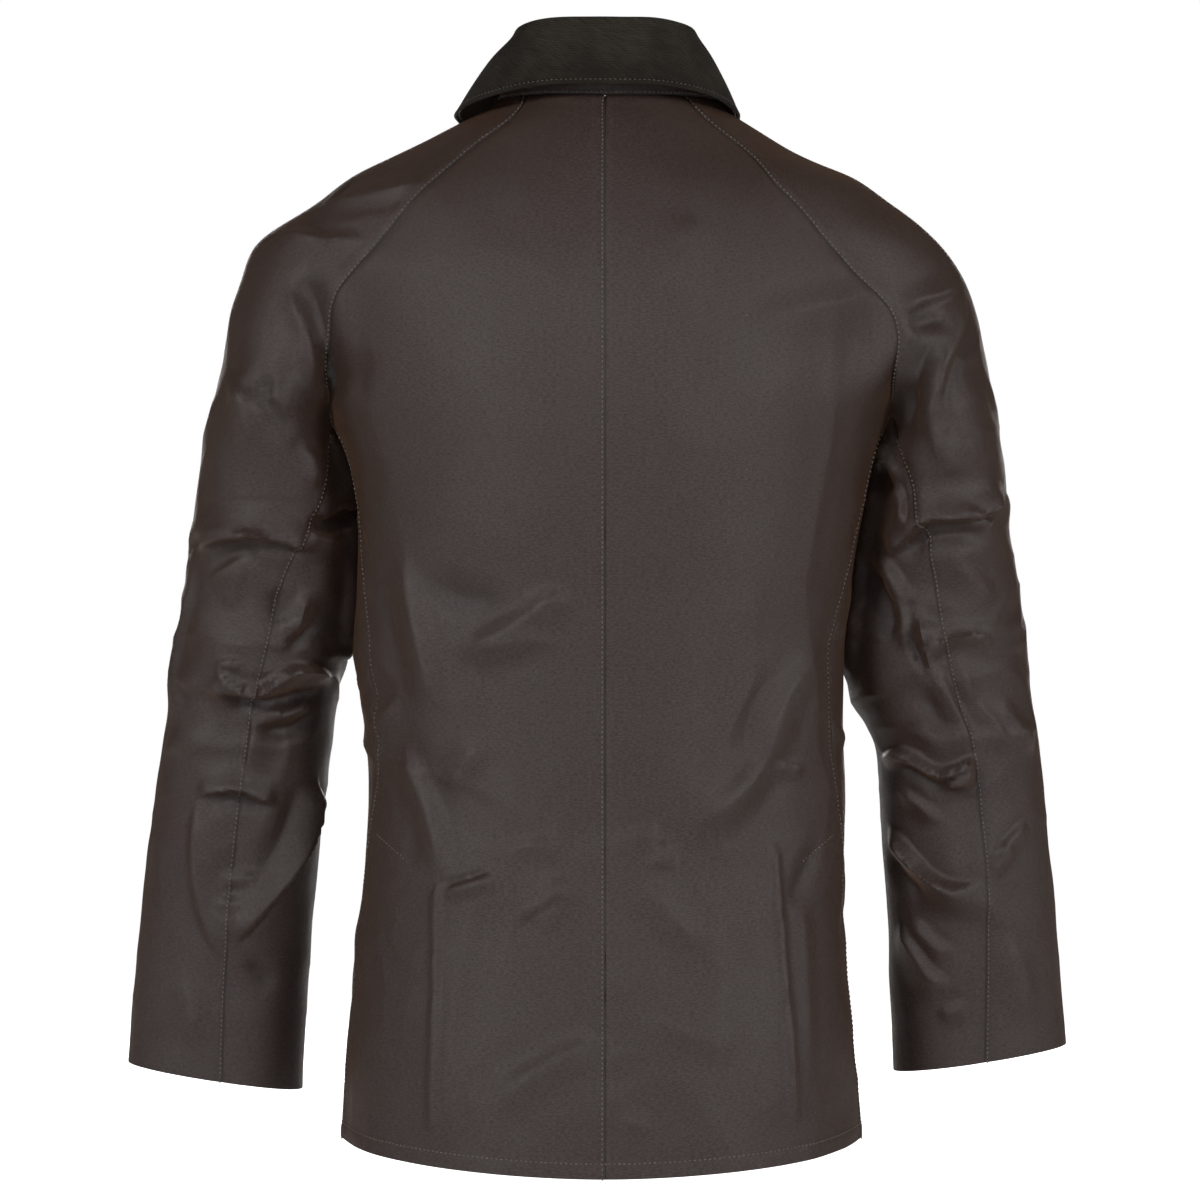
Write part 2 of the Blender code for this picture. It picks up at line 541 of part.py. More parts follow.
def fold_line(form, side, x0, z0, x1, z1, bow):
    """Points of a fold's crest on its form."""
    t = np.linspace(0, 1, FOLD_POINTS)
    run = np.array([x1 - x0, z1 - z0])
    across = np.array([-run[1], run[0]]) / np.linalg.norm(run)
    flat = np.array([x0, z0]) + t[:, None] * run + (4 * bow * t * (1 - t))[:, None] * across
    arm_side = {"torso": 0, "left": 1, "right": -1}[form]
    middle_y = smooth(arm_table(arm_side), 3, flat[:, 1]) if arm_side else np.zeros_like(t)
    origin = np.stack([flat[:, 0], middle_y, flat[:, 1]], axis=-1)
    if not arm_side:
        return cast(origin, (0, side, 0), torso_gap)
    return cast(origin, (0, side, 0), lambda p: np.minimum(arm_gap(p, arm_side), torso_gap(p)))


def fold_heights(points, normals, folds):
    """How far the folds move each point along its normal."""
    total = np.zeros(points.shape[:-1])
    for form, side, x0, z0, x1, z1, bow, half_width, height, lean in folds:
        line = fold_line(form, side, x0, z0, x1, z1, bow)
        best = np.full(points.shape[:-1], 1e9)
        share, left = np.zeros_like(best), np.zeros_like(best)
        for k, (a, b) in enumerate(zip(line[:-1], line[1:])):
            step = b - a
            t = np.clip(((points - a) @ step) / (step @ step), 0, 1)
            offset = points - (a + t[..., None] * step)
            distance = np.linalg.norm(offset, axis=-1)
            nearer = distance < best
            best = np.where(nearer, distance, best)
            share = np.where(nearer, (k + t) / (FOLD_POINTS - 1), share)
            left = np.where(nearer, (offset * np.cross(step, normals)).sum(-1), left)
        width = half_width * (1 - lean * np.sign(left))
        fade = ease(share / 0.3) * ease((1 - share) / 0.3)
        total += height * np.exp(-((best / width) ** 2)) * fade
    return total


def vent_flare(grid):
    """The free edge of a back panel stands off the vent, more so towards the hem."""
    down = np.clip((VENT_TOP_Z - grid[..., 2]) / (VENT_TOP_Z - HEM_SIDE_Z), 0, 1)
    across = np.linspace(0, 1, grid.shape[1])[None, :] ** 6
    return VENT_FLARE * down * across


# ---------------------------------------------------------------- solids
def material(name):
    """A Principled material from COLOURS, made once."""
    if name in bpy.data.materials:
        return bpy.data.materials[name]
    made = bpy.data.materials.new(name)
    made.use_nodes = True
    red, green, blue, roughness, metallic = COLOURS[name]
    shader = made.node_tree.nodes["Principled BSDF"]
    shader.inputs["Base Color"].default_value = (red, green, blue, 1.0)
    shader.inputs["Roughness"].default_value = roughness
    shader.inputs["Metallic"].default_value = metallic
    made.diffuse_color = (red, green, blue, 1.0)
    return made


def add_object(name, mesh, slot):
    made = bpy.data.objects.new(name, mesh)
    mesh.materials.append(material(slot))
    bpy.data.collections["jacket"].objects.link(made)
    return made


def split_quad(a, b, c, d, first):
    """Two triangles of a quad, cut from a to c when first is true and from b to d otherwise."""
    return ((a, b, c), (a, c, d)) if first else ((a, b, d), (b, c, d))


def wall(name, outer, inner, slot, outward_sign=1):
    """One closed wall between two grids of points, with a rim round its four edges.

    Quads are cut along the outer skin's shorter diagonal, and the rim's from the lower end of each outer edge, so
    that the rims of two neighbours are cut alike.
    """
    rows, columns = outer.shape[:2]
    mesh = bmesh.new()
    out, into = [[[mesh.verts.new(p) for p in row] for row in skin] for skin in (outer, inner)]
    turn = 1 if outward_sign > 0 else -1
    shorter = (
        np.linalg.norm(outer[1:, 1:] - outer[:-1, :-1], axis=-1)
        < np.linalg.norm(outer[:-1, 1:] - outer[1:, :-1], axis=-1)
    )
    for skin, direction in ((out, turn), (into, -turn)):
        for i in range(rows - 1):
            for j in range(columns - 1):
                corners = (skin[i][j], skin[i][j + 1], skin[i + 1][j + 1], skin[i + 1][j])
                for face in split_quad(*corners, shorter[i, j]):
                    mesh.faces.new(face[::direction])
    loop = [(0, j) for j in range(columns)]
    loop += [(i, columns - 1) for i in range(1, rows)]
    loop += [(rows - 1, j) for j in range(columns - 2, -1, -1)]
    loop += [(i, 0) for i in range(rows - 2, 0, -1)]
    for (i, j), (k, m) in zip(loop, loop[1:] + loop[:1]):
        from_lower = (outer[k, m] - outer[i, j]) @ LOWER > 0
        for face in split_quad(out[i][j], into[i][j], into[k][m], out[k][m], from_lower):
            mesh.faces.new(face[::turn])
    data = bpy.data.meshes.new(name)
    mesh.to_mesh(data)
    mesh.free()
    data.shade_smooth()
    data.set_sharp_from_angle(angle=math.radians(50))
    return add_object(name, data, slot)


def pull_back(grid, normals, distance):
    """Draws each edge of a grid in by a distance, sideways to the edge and square to its shared normals."""
    moved = grid.copy()
    for edge, inside in ((np.s_[:, 0], np.s_[:, 1]), (np.s_[:, -1], np.s_[:, -2]),
                         (np.s_[0], np.s_[1]), (np.s_[-1], np.s_[-2])):
        sideways = np.cross(normals[edge], np.gradient(grid[edge], axis=0))
        sideways /= np.linalg.norm(sideways, axis=-1, keepdims=True)
        towards = ((grid[inside] - grid[edge]) * sideways).sum(-1, keepdims=True)
        moved[edge] += sideways * np.sign(towards) * distance
    return moved


def cloth_panels():
    """Grids, outward signs and normals of the six cloth panels, with their folds."""
    grids, signs = {}, {}
    for side, word in ((1, "left"), (-1, "right")):
        grids[f"back_{word}"] = torso_panel(side, 1, BACK_COLUMNS)
        grids[f"front_{word}"] = torso_panel(side, -1, FRONT_COLUMNS)
        grids[f"sleeve_{word}"] = sleeve_panel(side, SLEEVE_COLUMNS)
        signs[f"back_{word}"], signs[f"front_{word}"], signs[f"sleeve_{word}"] = -side, side, side
    normals = {name: grid_normals(grid, signs[name]) for name, grid in grids.items()}
    share_normals(grids, normals)
    for name, grid in grids.items():
        height = fold_heights(grid, normals[name], FOLDS)
        if name.startswith("sleeve"):
            height[RAGLAN_ROWS + 1 :, -1] = height[RAGLAN_ROWS + 1 :, 0]
        grids[name] = grid + normals[name] * height[..., None]
    normals = {name: grid_normals(grid, signs[name]) for name, grid in grids.items()}
    share_normals(grids, normals)
    return grids, signs, normals


def build_cloth(grids, signs, normals):
    """The back, front and sleeve walls."""
    for name, grid in grids.items():
        grid = grid.copy()
        if name.startswith("front"):
            grid[:, 0, 0] = signs[name] * (ZIP_HALF_GAP - SEAM_GAP / 2)
        if name.startswith("back"):
            grid += normals[name] * vent_flare(grid)[..., None]
        outer = pull_back(grid, normals[name], SEAM_GAP / 2)
        wall(name, outer, outer - normals[name] * CLOTH, "waxed_cotton", signs[name])


def beyond(grid, column, step, distance):
    """Points of a grid at a distance from one of its columns, measured towards column + step."""
    run = grid[:, column + step] - grid[:, column]
    length = np.linalg.norm(run, axis=-1, keepdims=True)
    return grid[:, column] + run / length * np.minimum(distance, length)


def build_vent_laps(grids, signs, normals):
    """Underlaps behind the side vents, from under the front to under the back."""
    rows = int(round((VENT_TOP_Z - HEM_SIDE_Z) / (UNDERARM_Z - HEM_SIDE_Z) * SIDE_ROWS)) + 1
    depth = CLOTH + SEAM_GAP
    for side, word in ((1, "left"), (-1, "right")):
        front, back = grids[f"front_{word}"], grids[f"back_{word}"]
        reach = np.linalg.norm(back[:, -1] - back[:, -2], axis=-1)
        lap = np.stack([
            beyond(front, front.shape[1] - 1, -1, VENT_TUCK),
            front[:, -1],
            back[:, -2],
            beyond(back, back.shape[1] - 2, -1, np.maximum(VENT_LAP - reach, 0.002)[:, None]),
        ], axis=1)[:rows]
        inward = np.stack([
            normals[f"front_{word}"][:, -2],
            normals[f"front_{word}"][:, -1],
            normals[f"back_{word}"][:, -2],
            normals[f"back_{word}"][:, -2],
        ], axis=1)[:rows]
        lap[0, :, 2] = lap[0, 0, 2] + 0.001
        outer = lap - inward * depth
        wall(f"vent_lap_{word}", outer, outer - inward * UNDER_CLOTH, "waxed_cotton", side)


# ---------------------------------------------------------------- collar
def collar_profile(turn):
    """Points and left-hand normals of the seam between collar and under collar, from the neck over the roll."""
    stand, lean, swing, left_out, right_out, rise = [float(smooth(COLLAR, k, abs(turn))) for k in range(1, 7)]
    edge_out = left_out if turn > 0 else right_out
    angle = math.radians(turn)
    back = NECK_BACK if math.cos(angle) > 0 else NECK_FRONT
    out = np.array([math.sin(angle) / NECK_HALF_WIDTH, math.cos(angle) / back, 0.0])
    out /= np.linalg.norm(out)
    swing = math.radians(math.copysign(swing, turn))
    out = np.array([
        out[0] * math.cos(swing) - out[1] * math.sin(swing),
        out[0] * math.sin(swing) + out[1] * math.cos(swing),
        0.0,
    ])
    run = neck_seam(turn + 1.0) - neck_seam(turn - 1.0)
    foot = np.array([0.0, COLLAR_LIFT * np.linalg.norm(run) / np.linalg.norm(run[:2])])
    top = np.array([-lean, stand])
    edge = np.array([edge_out, rise])
    roll = top + np.array([ROLL_RADIUS, 0.0])
    arc = np.radians(np.linspace(180, 10, ROLL_STEPS + 1))
    over = roll + ROLL_RADIUS * np.stack([np.cos(arc), np.sin(arc)], axis=-1)
    stand_t = np.linspace(0, 1, STAND_STEPS + 1)[:-1, None]
    fall_t = np.linspace(0, 1, FALL_STEPS + 1)[1:, None]
    belly = np.array([FALL_BELLY, FALL_BELLY]) * 4 * fall_t * (1 - fall_t)
    flat = np.vstack([foot + (over[0] - foot) * stand_t, over, over[-1] + (edge - over[-1]) * fall_t + belly])
    step = np.gradient(flat, axis=0)
    left = np.stack([-step[:, 1], step[:, 0]], axis=-1)
    left /= np.linalg.norm(left, axis=-1, keepdims=True)
    up = np.array([0.0, 0.0, 1.0])
    points = neck_seam(turn) + flat[:, :1] * out + flat[:, 1:] * up
    return points, left[:, :1] * out + left[:, 1:] * up


def build_collar():
    """The corduroy collar over its under collar, both from the neck seam over the roll to the fall's edge."""
    turns = np.linspace(-COLLAR[-1][0], COLLAR[-1][0], COLLAR_STATIONS + 1)
    profiles = [collar_profile(turn) for turn in turns]
    seam = np.array([points for points, _ in profiles])
    normals = np.array([left for _, left in profiles])
    outer = seam + normals * (SEAM_GAP / 2 + CORDUROY)
    wall("collar_top", outer, seam + normals * SEAM_GAP / 2, "corduroy", -1)
    edge_step = seam[:, -1] - seam[:, -2]
    seam[:, -1] = seam[:, -2] + edge_step * UNDER_SHORT
    outer = seam - normals * SEAM_GAP / 2
    wall("collar_under", outer, outer - normals * UNDER_CLOTH, "waxed_cotton", -1)


# ---------------------------------------------------------------- zip
def build_zip(grids, normals):
    """Tapes, closed chain, box at the hem, slider and pull tab."""
    centre = {}
    for side, word in ((1, "left"), (-1, "right")):
        front = grids[f"front_{word}"].copy()
        front[:, 0, 0] = side * ZIP_HALF_GAP
        inward = normals[f"front_{word}"][:, :1] * np.array([0.0, 1.0, 1.0])
        inward /= np.linalg.norm(inward, axis=-1, keepdims=True)
        seat = front[:, :1] - inward * (CLOTH + SEAM_GAP)
        slope = (front[:, 1] - front[:, 0]) / np.abs(front[:, 1, :1] - front[:, 0, :1])
        tape = np.stack([
            seat[:, 0] - slope * (ZIP_HALF_GAP - TAPE_INNER) * np.array([1.0, 0.0, 0.0]),
            seat[:, 0],
            seat[:, 0] + slope * (TAPE_OUTER - ZIP_HALF_GAP),
        ], axis=1)
        tape[-1] = tape[-1] + (tape[-2] - tape[-1]) * ZIP_TOP_SHORT
        tape[0] = tape[0] + (tape[1] - tape[0]) * ZIP_TOP_SHORT
        lift = np.broadcast_to(inward, tape.shape)
        wall(f"zip_tape_{word}", tape, tape - lift * TAPE_THICK, "zip_tape", side)
        centre[side] = tape[:, 0] - lift[:, 0] * TAPE_THICK / 2
        out = lift[:, 0]
    line = centre[1].copy()
    line[:, 0] = 0.0
    run = lengths_along(line)
    slider_at = run[-1] - SLIDER_DROP
    chain_run = np.concatenate([[BOX_LENGTH + SEAM_GAP], run[(run > 0.02) & (run < slider_at - 0.01)], [slider_at]])
    chain = np.stack([np.interp(chain_run, run, line[:, k]) for k in range(3)], axis=-1)
    chain_out = np.stack([np.interp(chain_run, run, out[:, k]) for k in range(3)], axis=-1)
    across = np.array([CHAIN_HALF, 0.0, 0.0])
    skin = np.stack([chain - across, chain + across], axis=1)
    lift = np.stack([chain_out, chain_out], axis=1) * CHAIN_THICK / 2
    wall("zip_chain", skin + lift, skin - lift, "brass", 1)
    up = line[1] - line[0]
    box = frame_at(line[0], up, out[0])
    add_blocks("zip_box", [((0, 0, BOX_LENGTH / 2), (2 * BOX_HALF, BOX_DEPTH, BOX_LENGTH))], box)
    middle = np.array([np.interp(slider_at, run, line[:, k]) for k in range(3)])
    facing = np.array([np.interp(slider_at, run, out[:, k]) for k in range(3)])
    row = int(np.searchsorted(run, slider_at))
    build_slider(frame_at(middle, line[row] - line[row - 1], facing))


def frame_at(origin, up, outward):
    """World matrix of a local frame: x across, y into the jacket, z up along the front."""
    z = np.asarray(up) / np.linalg.norm(up)
    x = np.array([1.0, 0.0, 0.0])
    y = np.cross(z, x)
    return Matrix(((x[0], y[0], z[0], origin[0]), (x[1], y[1], z[1], origin[1]),
                   (x[2], y[2], z[2], origin[2]), (0, 0, 0, 1)))


def add_blocks(name, blocks, place):
    """One solid from overlapping rounded boxes, each given by its middle and its sizes in the frame `place`."""
    parts = []
    for middle, size in blocks:
        mesh = bmesh.new()
        bmesh.ops.create_cube(mesh, size=1.0)
        bmesh.ops.scale(mesh, vec=size, verts=mesh.verts)
        bmesh.ops.translate(mesh, vec=middle, verts=mesh.verts)
        data = bpy.data.meshes.new(name)
        mesh.to_mesh(data)
        mesh.free()
        parts.append(bpy.data.objects.new(name, data))
    body = parts[0]
    body.data.materials.append(material("brass"))
    bpy.data.collections["jacket"].objects.link(body)
    for cutter in parts[1:]:
        cutter.name = f"{name}_add"
        cutter.hide_render = True
        cutter.display_type = "WIRE"
        bpy.data.collections["cutters"].objects.link(cutter)
        union = body.modifiers.new("union", "BOOLEAN")
        union.operation = "UNION"
        union.solver = "EXACT"
        union.object = cutter
        cutter.matrix_world = place
    body.matrix_world = place


def build_slider(place):
    """Slider with two plates, a post between them and an arch, and the pull tab on its own axis."""
    plate_y = CHAIN_THICK / 2 + SEAM_GAP + SLIDER_DEPTH / 2
    post_z = SLIDER_LENGTH / 4 + SEAM_GAP
    post = (POST_WIDTH, 2 * plate_y, SLIDER_LENGTH / 2 - 2 * SEAM_GAP)
    face = plate_y + SLIDER_DEPTH / 2
    leg = (ARCH_WIDTH, ARCH_HEIGHT + ARCH_BAR, ARCH_BAR)
    leg_y = -(face + leg[1] / 2 - ARCH_BAR / 2)
    leg_z = (ARCH_LENGTH - ARCH_BAR) / 2
    beam_y = -(face + ARCH_HEIGHT - ARCH_BAR / 2)
    plate = (SLIDER_WIDTH, SLIDER_DEPTH, SLIDER_LENGTH)
    blocks = [
        ((0, -plate_y, 0), plate),
        ((0, plate_y, 0), plate),
        ((0, 0, post_z), post),
        ((0, leg_y, leg_z), leg),
        ((0, leg_y, -leg_z), leg),
        ((0, beam_y, 0), (ARCH_WIDTH, ARCH_BAR, ARCH_LENGTH)),
    ]
    add_blocks("zip_slider", blocks, place)
    pivot_y = -(face + (ARCH_HEIGHT - ARCH_BAR) / 2)
    hinge = bpy.data.objects.new("zip_pull_axis", None)
    hinge.matrix_world = place @ Matrix.Translation((0, pivot_y, 0))
    bpy.data.collections["jacket"].objects.link(hinge)
    arm = (PULL_WIDTH / 2 - PULL_EYE_HALF, PULL_THICK, PULL_EYE_DROP + PULL_BAR)
    arm_x = (PULL_WIDTH / 2 + PULL_EYE_HALF) / 2
    arm_z = -PULL_EYE_DROP / 2
    tab_length = PULL_LENGTH - PULL_EYE_DROP
    blocks = [
        ((0, 0, 0), (PULL_WIDTH, PULL_THICK, PULL_BAR)),
        ((arm_x, 0, arm_z), arm),
        ((-arm_x, 0, arm_z), arm),
        ((0, 0, -PULL_EYE_DROP - tab_length / 2), (PULL_WIDTH, PULL_THICK, tab_length)),
    ]
    add_blocks("zip_pull", blocks, hinge.matrix_world.copy())


def main():
    for old in list(bpy.data.objects):
        bpy.data.objects.remove(old)
    for name in ("jacket", "cutters"):
        bpy.context.scene.collection.children.link(bpy.data.collections.new(name))
    grids, signs, normals = cloth_panels()
    build_cloth(grids, signs, normals)
    build_vent_laps(grids, signs, normals)
    build_collar()
    build_zip(grids, normals)


main()
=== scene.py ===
"""Looks of the waxed cotton jacket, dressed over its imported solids.

Each cloth piece is a thin shell on its own solid: the solid's outer skin is read back as rows and columns of points,
refined with splines, creased, given its seams and hems, and raised to the cloth's thickness. Stitches and zip teeth
are laid along lines of those grids. +X is the wearer's left, -Y the way the wearer faces and +Z up, in metres.
"""

import logging
import math
from collections.abc import Callable
from dataclasses import dataclass, field
from enum import Enum

import bmesh
import bpy
import numpy as np
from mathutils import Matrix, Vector, noise
from mathutils.bvhtree import BVHTree
from mathutils.kdtree import KDTree


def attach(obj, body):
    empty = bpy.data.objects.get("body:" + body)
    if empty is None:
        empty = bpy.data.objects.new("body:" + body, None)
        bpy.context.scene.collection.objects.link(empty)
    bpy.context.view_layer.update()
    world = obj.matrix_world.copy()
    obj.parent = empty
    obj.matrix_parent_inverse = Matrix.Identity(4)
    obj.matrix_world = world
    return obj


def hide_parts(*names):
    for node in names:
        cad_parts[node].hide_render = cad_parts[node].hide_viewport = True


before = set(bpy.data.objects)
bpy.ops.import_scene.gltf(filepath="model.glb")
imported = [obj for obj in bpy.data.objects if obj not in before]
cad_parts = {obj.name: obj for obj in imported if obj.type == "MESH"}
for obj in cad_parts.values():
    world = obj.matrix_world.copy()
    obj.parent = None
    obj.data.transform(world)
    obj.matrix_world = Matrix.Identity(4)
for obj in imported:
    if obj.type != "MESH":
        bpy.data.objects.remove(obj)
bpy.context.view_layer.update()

logging.basicConfig(level=logging.INFO, format="%(message)s")
LOG = logging.getLogger("jacket")

Array = np.ndarray
Point = tuple[float, float, float]
Line = tuple[Array, Array]  # points, and the way that each of them faces
Looks = dict[str, bpy.types.Material]

CLOTH = 0.0015  # thickness of the cloth as it is drawn
EDGE_STEPS = (0.0007, 0.0014, 0.0022, 0.0031, 0.0042, 0.0056, 0.0074, 0.0098, 0.0125)  # points in from an edge
FOLD_ANGLE = math.radians(70)  # a sharper fold is shaded as an edge
THIN = 1.07  # an edge shorter than this many thicknesses crosses the wall
MERGED = 0.00002  # corners of a solid this close are one
TINY = 1e-12  # keeps a length from being divided by nothing
STITCH_IN = 0.0024  # a topstitched row's distance from its seam
HEM_DEPTH = 0.0105  # a hem's width


class Facing(Enum):
    """Which way the skin that shows looks, on the whole."""

    BEHIND = (0.0, 1.0, 0.0)
    AHEAD = (0.0, -1.0, 0.0)
    UP = (0.0, 0.0, 1.0)
    DOWN = (0.0, 0.0, -1.0)
    LEFT = (1.0, 0.0, 0.0)
    RIGHT = (-1.0, 0.0, 0.0)
    ALL_ROUND = (0.0, 0.0, 0.0)


class Border(Enum):
    """An edge of a panel's grid, as the grid's axis and its index there."""

    FIRST_ROW = (0, 0)
    LAST_ROW = (0, -1)
    FIRST_COLUMN = (1, 0)
    LAST_COLUMN = (1, -1)


# ---- numbers and curves
def ease(t: Array) -> Array:
    """A smooth step from 0 to 1."""
    t = np.clip(t, 0.0, 1.0)
    return t * t * (3 - 2 * t)


def unit(vectors: Array) -> Array:
    """The vectors at length 1."""
    return vectors / np.maximum(np.linalg.norm(vectors, axis=-1, keepdims=True), TINY)


def run_along(points: Array, axis: int) -> Array:
    """Distance run along one axis of a grid of points, from 0.

    Args:
        points: points, with their coordinates on the last axis.
        axis: the axis that is followed.

    Returns:
        The distances, one for each point.
    """
    steps = np.linalg.norm(np.diff(points, axis=axis), axis=-1)
    start = np.zeros_like(np.take(steps, [0], axis=axis))
    return np.concatenate([start, np.cumsum(steps, axis=axis)], axis=axis)


def spline_weights(knots: Array, at: Array) -> Array:
    """Weights of a cubic spline through values at the knots, its curvature even in the two end spans.

    Args:
        knots: rising positions of the values.
        at: positions where the spline is wanted.

    Returns:
        A matrix that turns the values at the knots into those at the wanted positions.
    """
    count, width = len(knots), np.diff(knots)
    bends, slopes = np.zeros((count, count)), np.zeros((count, count))
    bends[0, :2] = 1.0, -1.0
    bends[-1, -2:] = -1.0, 1.0
    for k in range(1, count - 1):
        bends[k, k - 1 : k + 2] = width[k - 1], 2 * (width[k - 1] + width[k]), width[k]
        slopes[k, k - 1 : k + 2] = 6 / width[k - 1], -6 / width[k - 1] - 6 / width[k], 6 / width[k]
    second = np.linalg.solve(bends, slopes)
    k = np.clip(np.searchsorted(knots, at) - 1, 0, count - 2)
    h = width[k]
    b = (at - knots[k]) / h
    a = 1 - b
    rows = np.arange(len(at))
    weights = np.zeros((len(at), count))
    weights[rows, k] = a
    weights[rows, k + 1] = b
    weights += ((a**3 - a) * h**2 / 6)[:, None] * second[k] + ((b**3 - b) * h**2 / 6)[:, None] * second[k + 1]
    return weights


def smooth_line(points: Array, count: int) -> Array:
    """A smooth line through a few points.

    Args:
        points: the points, two or more.
        count: how many points the line gets.

    Returns:
        The line's points.
    """
    points = np.asarray(points, float)
    knots = run_along(points, 0)
    at = np.linspace(0, knots[-1], count)
    if len(points) == 2:
        return points[0] + (points[1] - points[0]) * (at / knots[-1])[:, None]
    return spline_weights(knots, at) @ points


def refine(grid: Array, axis: int, run: Array, stops: Array) -> Array:
    """A grid with new rows or columns, on splines through the old ones.

    Args:
        grid: the points.
        axis: 0 for new rows, 1 for new columns.
        run: how far along the axis the old ones lie.
        stops: shares of the whole run at which the new ones lie.

    Returns:
        The new grid.
    """
    weights = spline_weights(run / run[-1], stops)
    return np.einsum("ab,b...->a..." if axis == 0 else "ab,cbk->cak", weights, grid)


def between(at: float | Array, run: Array, values: Array) -> Array:
    """Points or directions read between the places where they are known."""
    return np.stack([np.interp(at, run, values[:, k]) for k in range(3)], axis=-1)


def noise_at(points: Array, scale: float) -> Array:
    """Smooth noise from -1 to 1 at each point, with a number of waves to a metre."""
    return np.array([noise.noise(Vector(p * scale)) for p in points.reshape(-1, 3)]).reshape(points.shape[:-1])


def tree_of(points: Array) -> KDTree:
    """A tree that finds the nearest of some points.

    Args:
        points: the points.

    Returns:
        The tree, in which each has its place in the list as its number.
    """
    tree = KDTree(len(points))
    for k, point in enumerate(points):
        tree.insert(point, k)
    tree.balance()
    return tree


def add_object(name: str, data: bpy.types.ID) -> bpy.types.Object:
    """A new object that holds the data, linked to the scene.

    Args:
        name: its name.
        data: its mesh, light or camera.

    Returns:
        The object.
    """
    made = bpy.data.objects.new(name, data)
    bpy.context.scene.collection.objects.link(made)
    return made


# ---- grids read from the solids
def skin_faces(wall: bmesh.types.BMesh, facing: Facing, thickness: float) -> set[bmesh.types.BMFace]:
    """Faces of the skin that shows, out of a closed wall's two skins.

    Args:
        wall: the merged wall.
        facing: which way that skin looks.
        thickness: the wall's thickness.

    Returns:
        Its faces, without the rim's.
    """
    rim = {f for f in wall.faces if min(e.calc_length() for e in f.edges) < thickness * THIN}
    left, best, best_score = set(wall.faces) - rim, set(), -math.inf
    while left:
        skin, waiting = set(), [next(iter(left))]
        left.discard(waiting[0])
        while waiting:
            face = waiting.pop()
            skin.add(face)
            for edge in face.edges:
                for other in edge.link_faces:
                    if other in left:
                        left.discard(other)
                        waiting.append(other)
        middle = sum((f.calc_center_median() for f in skin), Vector()) / len(skin)
        way = Vector(facing.value)
        score = sum(
            f.calc_area() * f.normal.dot(way if way.length else f.calc_center_median() - middle) for f in skin
        )
        if score > best_score:
            best, best_score = skin, score
    return best


def border_loop(skin: set[bmesh.types.BMFace]) -> list[bmesh.types.BMVert]:
    """The vertices round a skin's border.

    Args:
        skin: the skin's faces.

    Returns:
        The vertices in order.
    """
    neighbours: dict[bmesh.types.BMVert, list[bmesh.types.BMVert]] = {}
    for face in skin:
        for edge in face.edges:
            if sum(other in skin for other in edge.link_faces) == 1:
                a, b = edge.verts
                neighbours.setdefault(a, []).append(b)
                neighbours.setdefault(b, []).append(a)
    loop = [next(iter(neighbours))]
    loop.append(neighbours[loop[0]][0])
    while len(loop) < len(neighbours):
        a, b = neighbours[loop[-1]]
        loop.append(b if a is loop[-2] else a)
    return loop


def bend_at(loop: list[bmesh.types.BMVert], k: int) -> float:
    """How sharply a loop turns at one of its vertices, in radians."""
    before, here, after = (loop[i % len(loop)].co for i in (k - 1, k, k + 1))
    return (here - before).angle(after - here, 0.0)


def read_grid(node: str, facing: Facing, corner: Point, along: Point, thickness: float = CLOTH) -> Array:
    """A solid's skin as the grid of points that it was raised on.

    Args:
        node: the solid's name.
        facing: which way the skin looks.
        corner: a place near the point that starts the grid.
        along: the direction of the first row at that corner.
        thickness: the solid's wall thickness.

    Returns:
        The points as rows, columns and coordinates.
    """
    wall = bmesh.new()
    wall.from_mesh(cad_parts[node].data)
    bmesh.ops.remove_doubles(wall, verts=wall.verts, dist=MERGED)
    skin = skin_faces(wall, facing, thickness)
    loop = border_loop(skin)
    start = min(range(len(loop)), key=lambda k: (loop[k].co - Vector(corner)).length)
    loop = loop[start:] + loop[:start]
    if (loop[1].co - loop[0].co).dot(Vector(along)) < (loop[-1].co - loop[0].co).dot(Vector(along)):
        loop = loop[:1] + loop[:0:-1]
    near: dict[bmesh.types.BMVert, set[bmesh.types.BMVert]] = {}
    for face in skin:
        for edge in face.edges:
            a, b = edge.verts
            near.setdefault(a, set()).add(b)
            near.setdefault(b, set()).add(a)
    total, half = len(near), len(loop) // 2 + 2
    root = math.sqrt(half * half / 4 - total)
    options = [round(half / 2 + root), round(half / 2 - root)]
    columns = max(options, key=lambda c: bend_at(loop, c - 1) + bend_at(loop, len(loop) // 2 + c - 1))
    rows = half - columns
    if rows * columns != total:
        raise ValueError(f"{node}: its skin of {total} points isn't a grid")
    grid = [[None] * columns for _ in range(rows)]
    grid[0] = loop[:columns]
    for i in range(1, rows):
        grid[i][-1] = loop[columns - 1 + i]
        grid[i][0] = loop[-i]
    grid[-1] = loop[columns + rows - 2 : 2 * columns + rows - 2][::-1]
    used = set(loop)
    for i in range(1, rows - 1):
        for j in range(1, columns - 1):
            (point,) = (near[grid[i][j - 1]] & near[grid[i - 1][j]]) - used
            grid[i][j] = point
            used.add(point)
    points = np.array([[v.co for v in row] for row in grid], float)
    wall.free()
    return points


def axis_stops(length: float, step: float) -> Array:
    """Shares of an axis at which a shell has points, closer together towards both ends, where the seams are.

    Args:
        length: the axis's own length.
        step: distance between points away from the ends.

    Returns:
        Rising shares from 0 to 1, an odd number of them.
    """
    edge = np.array((0.0, *EDGE_STEPS)) / length
    count = max(round((length - 2 * EDGE_STEPS[-1]) / step / 2), 1) * 2
    between = np.linspace(edge[-1], 1 - edge[-1], count + 1)[1:-1]
    return np.concatenate([edge, between, 1 - edge[::-1]])


def grid_normals(points: Array, outward: float) -> Array:
    """Unit normals of a grid of points.

    Args:
        points: the grid.
        outward: 1 or -1, whichever makes them point out of the jacket.

    Returns:
        The normals.
    """
    return unit(np.cross(np.gradient(points, axis=1), np.gradient(points, axis=0)) * outward)


